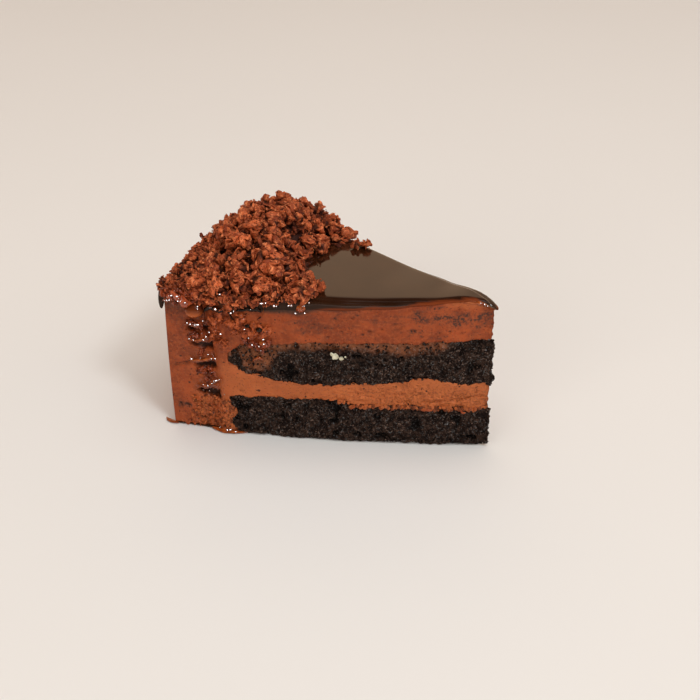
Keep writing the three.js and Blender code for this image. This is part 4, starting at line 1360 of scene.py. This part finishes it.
def puddle(seed, places, height):
    """A flat puddle round a line of (x, y, half width) places: domed on top, flat below."""
    along, mid = along_run(places, PUDDLE_STEPS)
    ends = np.sin(np.pi * np.clip(along / along[-1], 0.0, 1)) ** 0.35
    side = np.gradient(mid[:, :2], axis=0)
    side = np.stack([-side[:, 1], side[:, 0]], -1) / np.linalg.norm(side, axis=1)[:, None]
    rings = []
    for a in np.linspace(0, 2 * np.pi, PUDDLE_ROUND, endpoint=False):
        bank = np.stack([mid[:, 0], mid[:, 1], 0 * along + np.sign(np.cos(a)) * 9], -1)
        edge = mid[:, 2] * ends * (1 + 0.18 * lumps(bank, 2.2, seed))
        z = np.maximum(0.01 + height * np.sin(a) * ends, 0.004)
        rings.append(np.column_stack([mid[:, :2] + side * (np.cos(a) * edge)[:, None], z]))
    return np.stack(rings, 1).reshape(-1, 3), tube_faces(PUDDLE_STEPS, PUDDLE_ROUND)


AMBER_RUN = (
    (-34.4, -30.0, 0.4), (-31.4, -30.4, 1.2), (-28, -30.2, 1.6), (-25, -29.3, 1.5), (-22.6, -28.6, 1.0),
    (-20.8, -27.9, 0.4),
)
CORNER_RUN = ((-50.2, -32.0, 0.3), (-48.6, -32.9, 0.8), (-46.4, -33.4, 0.8), (-44.4, -33.2, 0.4))
# A thin dark line along the foot, in the glaze's colour: painted shadow under the cake's edge.
SHADOW_LINE_RUN = (
    (-46, -33.1, 0.3), (-43.8, -32.6, 0.4), (-38.1, -31.0, 0.45), (-31.1, -29.9, 0.5), (-24.8, -29.3, 0.45),
    (-21.4, -28.2, 0.3),
)
amber = joined("caramel_puddle", [puddle(1, AMBER_RUN, 0.42), puddle(2, CORNER_RUN, 0.35)])
dress(amber, None, caramel)
dress(piece_from("glaze_at_the_foot", *puddle(3, SHADOW_LINE_RUN, 0.5)), None, glaze.data.materials[0])


# ---- Crumbs ----
# Grains of sponge that the knife loosened: they hang on at the tip, along the layers' edges and on the cuts,
# with grains and threads of mousse between them.

CRUMBS_PER_SPONGE, TIP_CRUMBS, FOOT_CRUMBS, MOUSSE_CRUMBS = 900, 170, 760, 900


def above_table(z, size):
    """The height of a crumb's heart, lifted where the crumb would sink into the table."""
    return max(z, 1.4 * size + 0.05)


def crumb_places(side):
    pick = np.random.default_rng(31 + side)
    places, sizes = [], []
    for floor, roof, seed in ((None, BASE_ROOF, BASE_SEED), (TOP_FLOOR, TOP_ROOF, TOP_SEED)):
        for n in range(CRUMBS_PER_SPONGE):
            r = TIP_RADIUS + (SPONGE_RADIUS - TIP_RADIUS - 1) * pick.random()
            low = float(crumbly(floor, np.array([r]), seed + side)[0]) if floor else 0.35
            high = float(crumbly(roof, np.array([r]), seed + side + 2)[0])
            z = low + (high - low) * np.clip(pick.random() * 1.06 - 0.03, 0, 1)
            size = 0.22 + 0.36 * pick.random() ** 2
            if floor is None and n % 5 == 0:
                z, size = 0.5 + 0.3 * pick.random(), 0.4 + 0.25 * pick.random()
            out = 0.15 - 0.5 * size * pick.random()
            places.append(np.append(plan(r, side), above_table(z, size)) + out * outward(side))
            sizes.append(size)
    for n in range(TIP_CRUMBS):
        in_sponge = [1 + 12 * pick.random(), 23.5 + 14 * pick.random()] if n % 4 else [1, 13, 23, 37.5]
        z = pick.choice(in_sponge)
        size = 0.3 + 0.5 * pick.random()
        x = CAKE_RADIUS / 2 - 0.9 + (1.85 - 1.2 * size) * pick.random()
        places.append([x, 1.3 * (pick.random() - 0.5), above_table(z, size)])
        sizes.append(size)
    return np.array(places), np.array(sizes)


def mousse_crumb_places():
    """Over the porous foot of the wall's end, and along the lower edge of the band between the sponges."""
    pick = np.random.default_rng(37)
    places, sizes = [], []
    for n in range(MOUSSE_CRUMBS):
        if n < FOOT_CRUMBS:
            z = 0.6 + 11 * pick.random()
            border = 83.6 - 2.2 * math.exp(-(((z - 7.4) / 2.0) ** 2)) - 2.6 * max(0, 1 - z / 3)
            s = border + (2 + 12 * (n % 5 < 2)) * pick.random()
        else:
            s = 3 + 45 * pick.random()
            z = float(BASE_ROOF(s)) + 0.1 - 1.1 * pick.random() ** 1.6
        size = 0.38 + 0.4 * pick.random() ** 1.5 + 0.25 * (n >= FOOT_CRUMBS)
        places.append(on_cut(s, above_table(z, size), 0.25 - 0.5 * size * pick.random()))
        sizes.append(size)
    return np.array(places), np.array(sizes)


grain = kinds("grain", [shard(600 + n, 1, 0.85) for n in range(10)])
mousse_skin = mousse.data.materials[0]
SHREDS = (
    ((41.8, 13.9, 0.0, 0.6), (42.8, 13.2, 0.3, 0.55), (43.8, 12.6, 0.3, 0.35), (44.6, 12.1, 0.2, 0.15)),
    ((9.8, 14.0, 0.2, 0.4), (8.8, 13.0, 0.6, 0.5), (7.9, 12.4, 0.7, 0.45), (7.0, 12.6, 0.6, 0.2)),
    ((22.6, 13.4, 0.0, 0.5), (20.4, 13.1, 0.3, 0.7), (18.8, 12.9, 0.3, 0.6), (17.0, 13.4, 0.1, 0.4)),
    ((35.2, 13.6, 0.0, 0.3), (34.2, 12.9, 0.3, 0.4), (33.0, 13.2, 0.2, 0.3)),
    ((28.0, 13.8, 0.0, 0.4), (27.0, 13.2, 0.4, 0.4), (25.8, 13.6, 0.2, 0.3)),
)
shreds = joined("mousse_shreds", [thread(60 + n, run) for n, run in enumerate(SHREDS)])
dress(shreds, None, mousse_skin)
strewn("mousse_crumbs", mousse_crumb_places(), grain, 19, mousse_skin, None)
crumb_finish = sponge_finish("loose dark crumb")
for side, name in ((0, "near_crumbs"), (1, "far_crumbs")):
    strewn(name, crumb_places(side), grain, 17 + side, crumb_finish, None)

for shapes in (clusters, lumps_only, folded, underneath, chips, bits, grain):
    for one in list(shapes.objects):
        bpy.data.meshes.remove(one.data)
    bpy.data.collections.remove(shapes)
bpy.data.node_groups.remove(STREWING)


# ---- Stage, light and camera ----
# A pale matt table under a large soft light from the right and a pale room all round, and the camera a little
# above the slice, looking at the near cut.

TABLE_SIZE, TABLE_DROP = 8, 0.0004  # metres; the drop keeps the table clear of the cake's underside
bpy.ops.mesh.primitive_plane_add(size=TABLE_SIZE, location=(0, 0, -TABLE_DROP))
table_top = bpy.context.object
table_top.name = "table_top"
table_finish, tree, shader = surface("pale table")
feed(shader, {
    "Base Color": blended(lumpy(tree, 180, 2), (0.79, 0.77, 0.75), (0.81, 0.79, 0.77)),
    "Roughness": 0.6,
})
table_top.data.materials.append(table_finish)


def soft_light(name, place, aim, size, power, colour, mirrored=True):
    lamp = bpy.data.lights.new(name, "AREA")
    lamp.shape, lamp.size, lamp.energy, lamp.color = "SQUARE", size, power, colour
    made = bpy.data.objects.new(name, lamp)
    made.location = place
    made.rotation_mode = "QUATERNION"
    made.rotation_quaternion = (Vector(aim) - Vector(place)).to_track_quat("-Z", "Y")
    made.visible_glossy = mirrored
    bpy.context.collection.objects.link(made)


CAKE_HEART = (0, 0, 0.02)
soft_light("key", (1.24, -0.70, 1.50), CAKE_HEART, 1.9, 9.5, (0.90, 0.97, 1.0))
soft_light("window", (1.178, -0.665, 1.425), CAKE_HEART, 0.40, 11.9, (0.92, 0.97, 1.0))
soft_light("fill", (-0.2, -2.2, 0.7), CAKE_HEART, 1.4, 16.5, (1.0, 0.96, 0.90), mirrored=False)
soft_light("ceiling", (0, 0, 2.2), (0, 0, 0), 2.4, 26.0, (1.0, 0.985, 0.96), mirrored=False)

room = bpy.data.worlds.new("room")
room.use_nodes = True
tree = room.node_tree
where = added(tree, "ShaderNodeTexCoord", {}).outputs["Generated"]
towards = added(tree, "ShaderNodeSeparateXYZ", {"Vector": where}).outputs
from_behind = spread(towards["Y"], -0.45, 0.4, 0.2, 1.0)
from_the_side = spread(towards["Z"], 0.5, 0.85, 1.0, 0.12)
feed(tree.nodes["Background"], {
    "Color": blended(spread(towards["Z"], 0.35, 0.95), (0.93, 0.62, 0.39), (0.60, 0.49, 0.39)),
    "Strength": combined("MULTIPLY", from_behind, from_the_side),
})
bpy.context.scene.world = room
bpy.context.scene.view_settings.view_transform = "Standard"

LENS_PIXELS, PICTURE_PIXELS, SENSOR_MM = 1250, 700, 36
CAMERA_PLACE = (0.159266, -0.327561, 0.222201)
camera = bpy.data.objects.new("camera", bpy.data.cameras.new("camera"))
ahead = Vector((-0.37824, 0.79087, -0.48111)).normalized()
right = Vector((0.90020, 0.43541, 0.00802)).normalized()
turned_to = Matrix((right, right.cross(ahead), -ahead)).transposed().to_4x4()
camera.matrix_world = Matrix.Translation(CAMERA_PLACE) @ turned_to
camera.data.sensor_width = SENSOR_MM
camera.data.lens = SENSOR_MM * LENS_PIXELS / PICTURE_PIXELS
camera.data.clip_start, camera.data.clip_end = 0.01, 20
bpy.context.collection.objects.link(camera)
bpy.context.scene.camera = camera

bpy.context.view_layer.update()
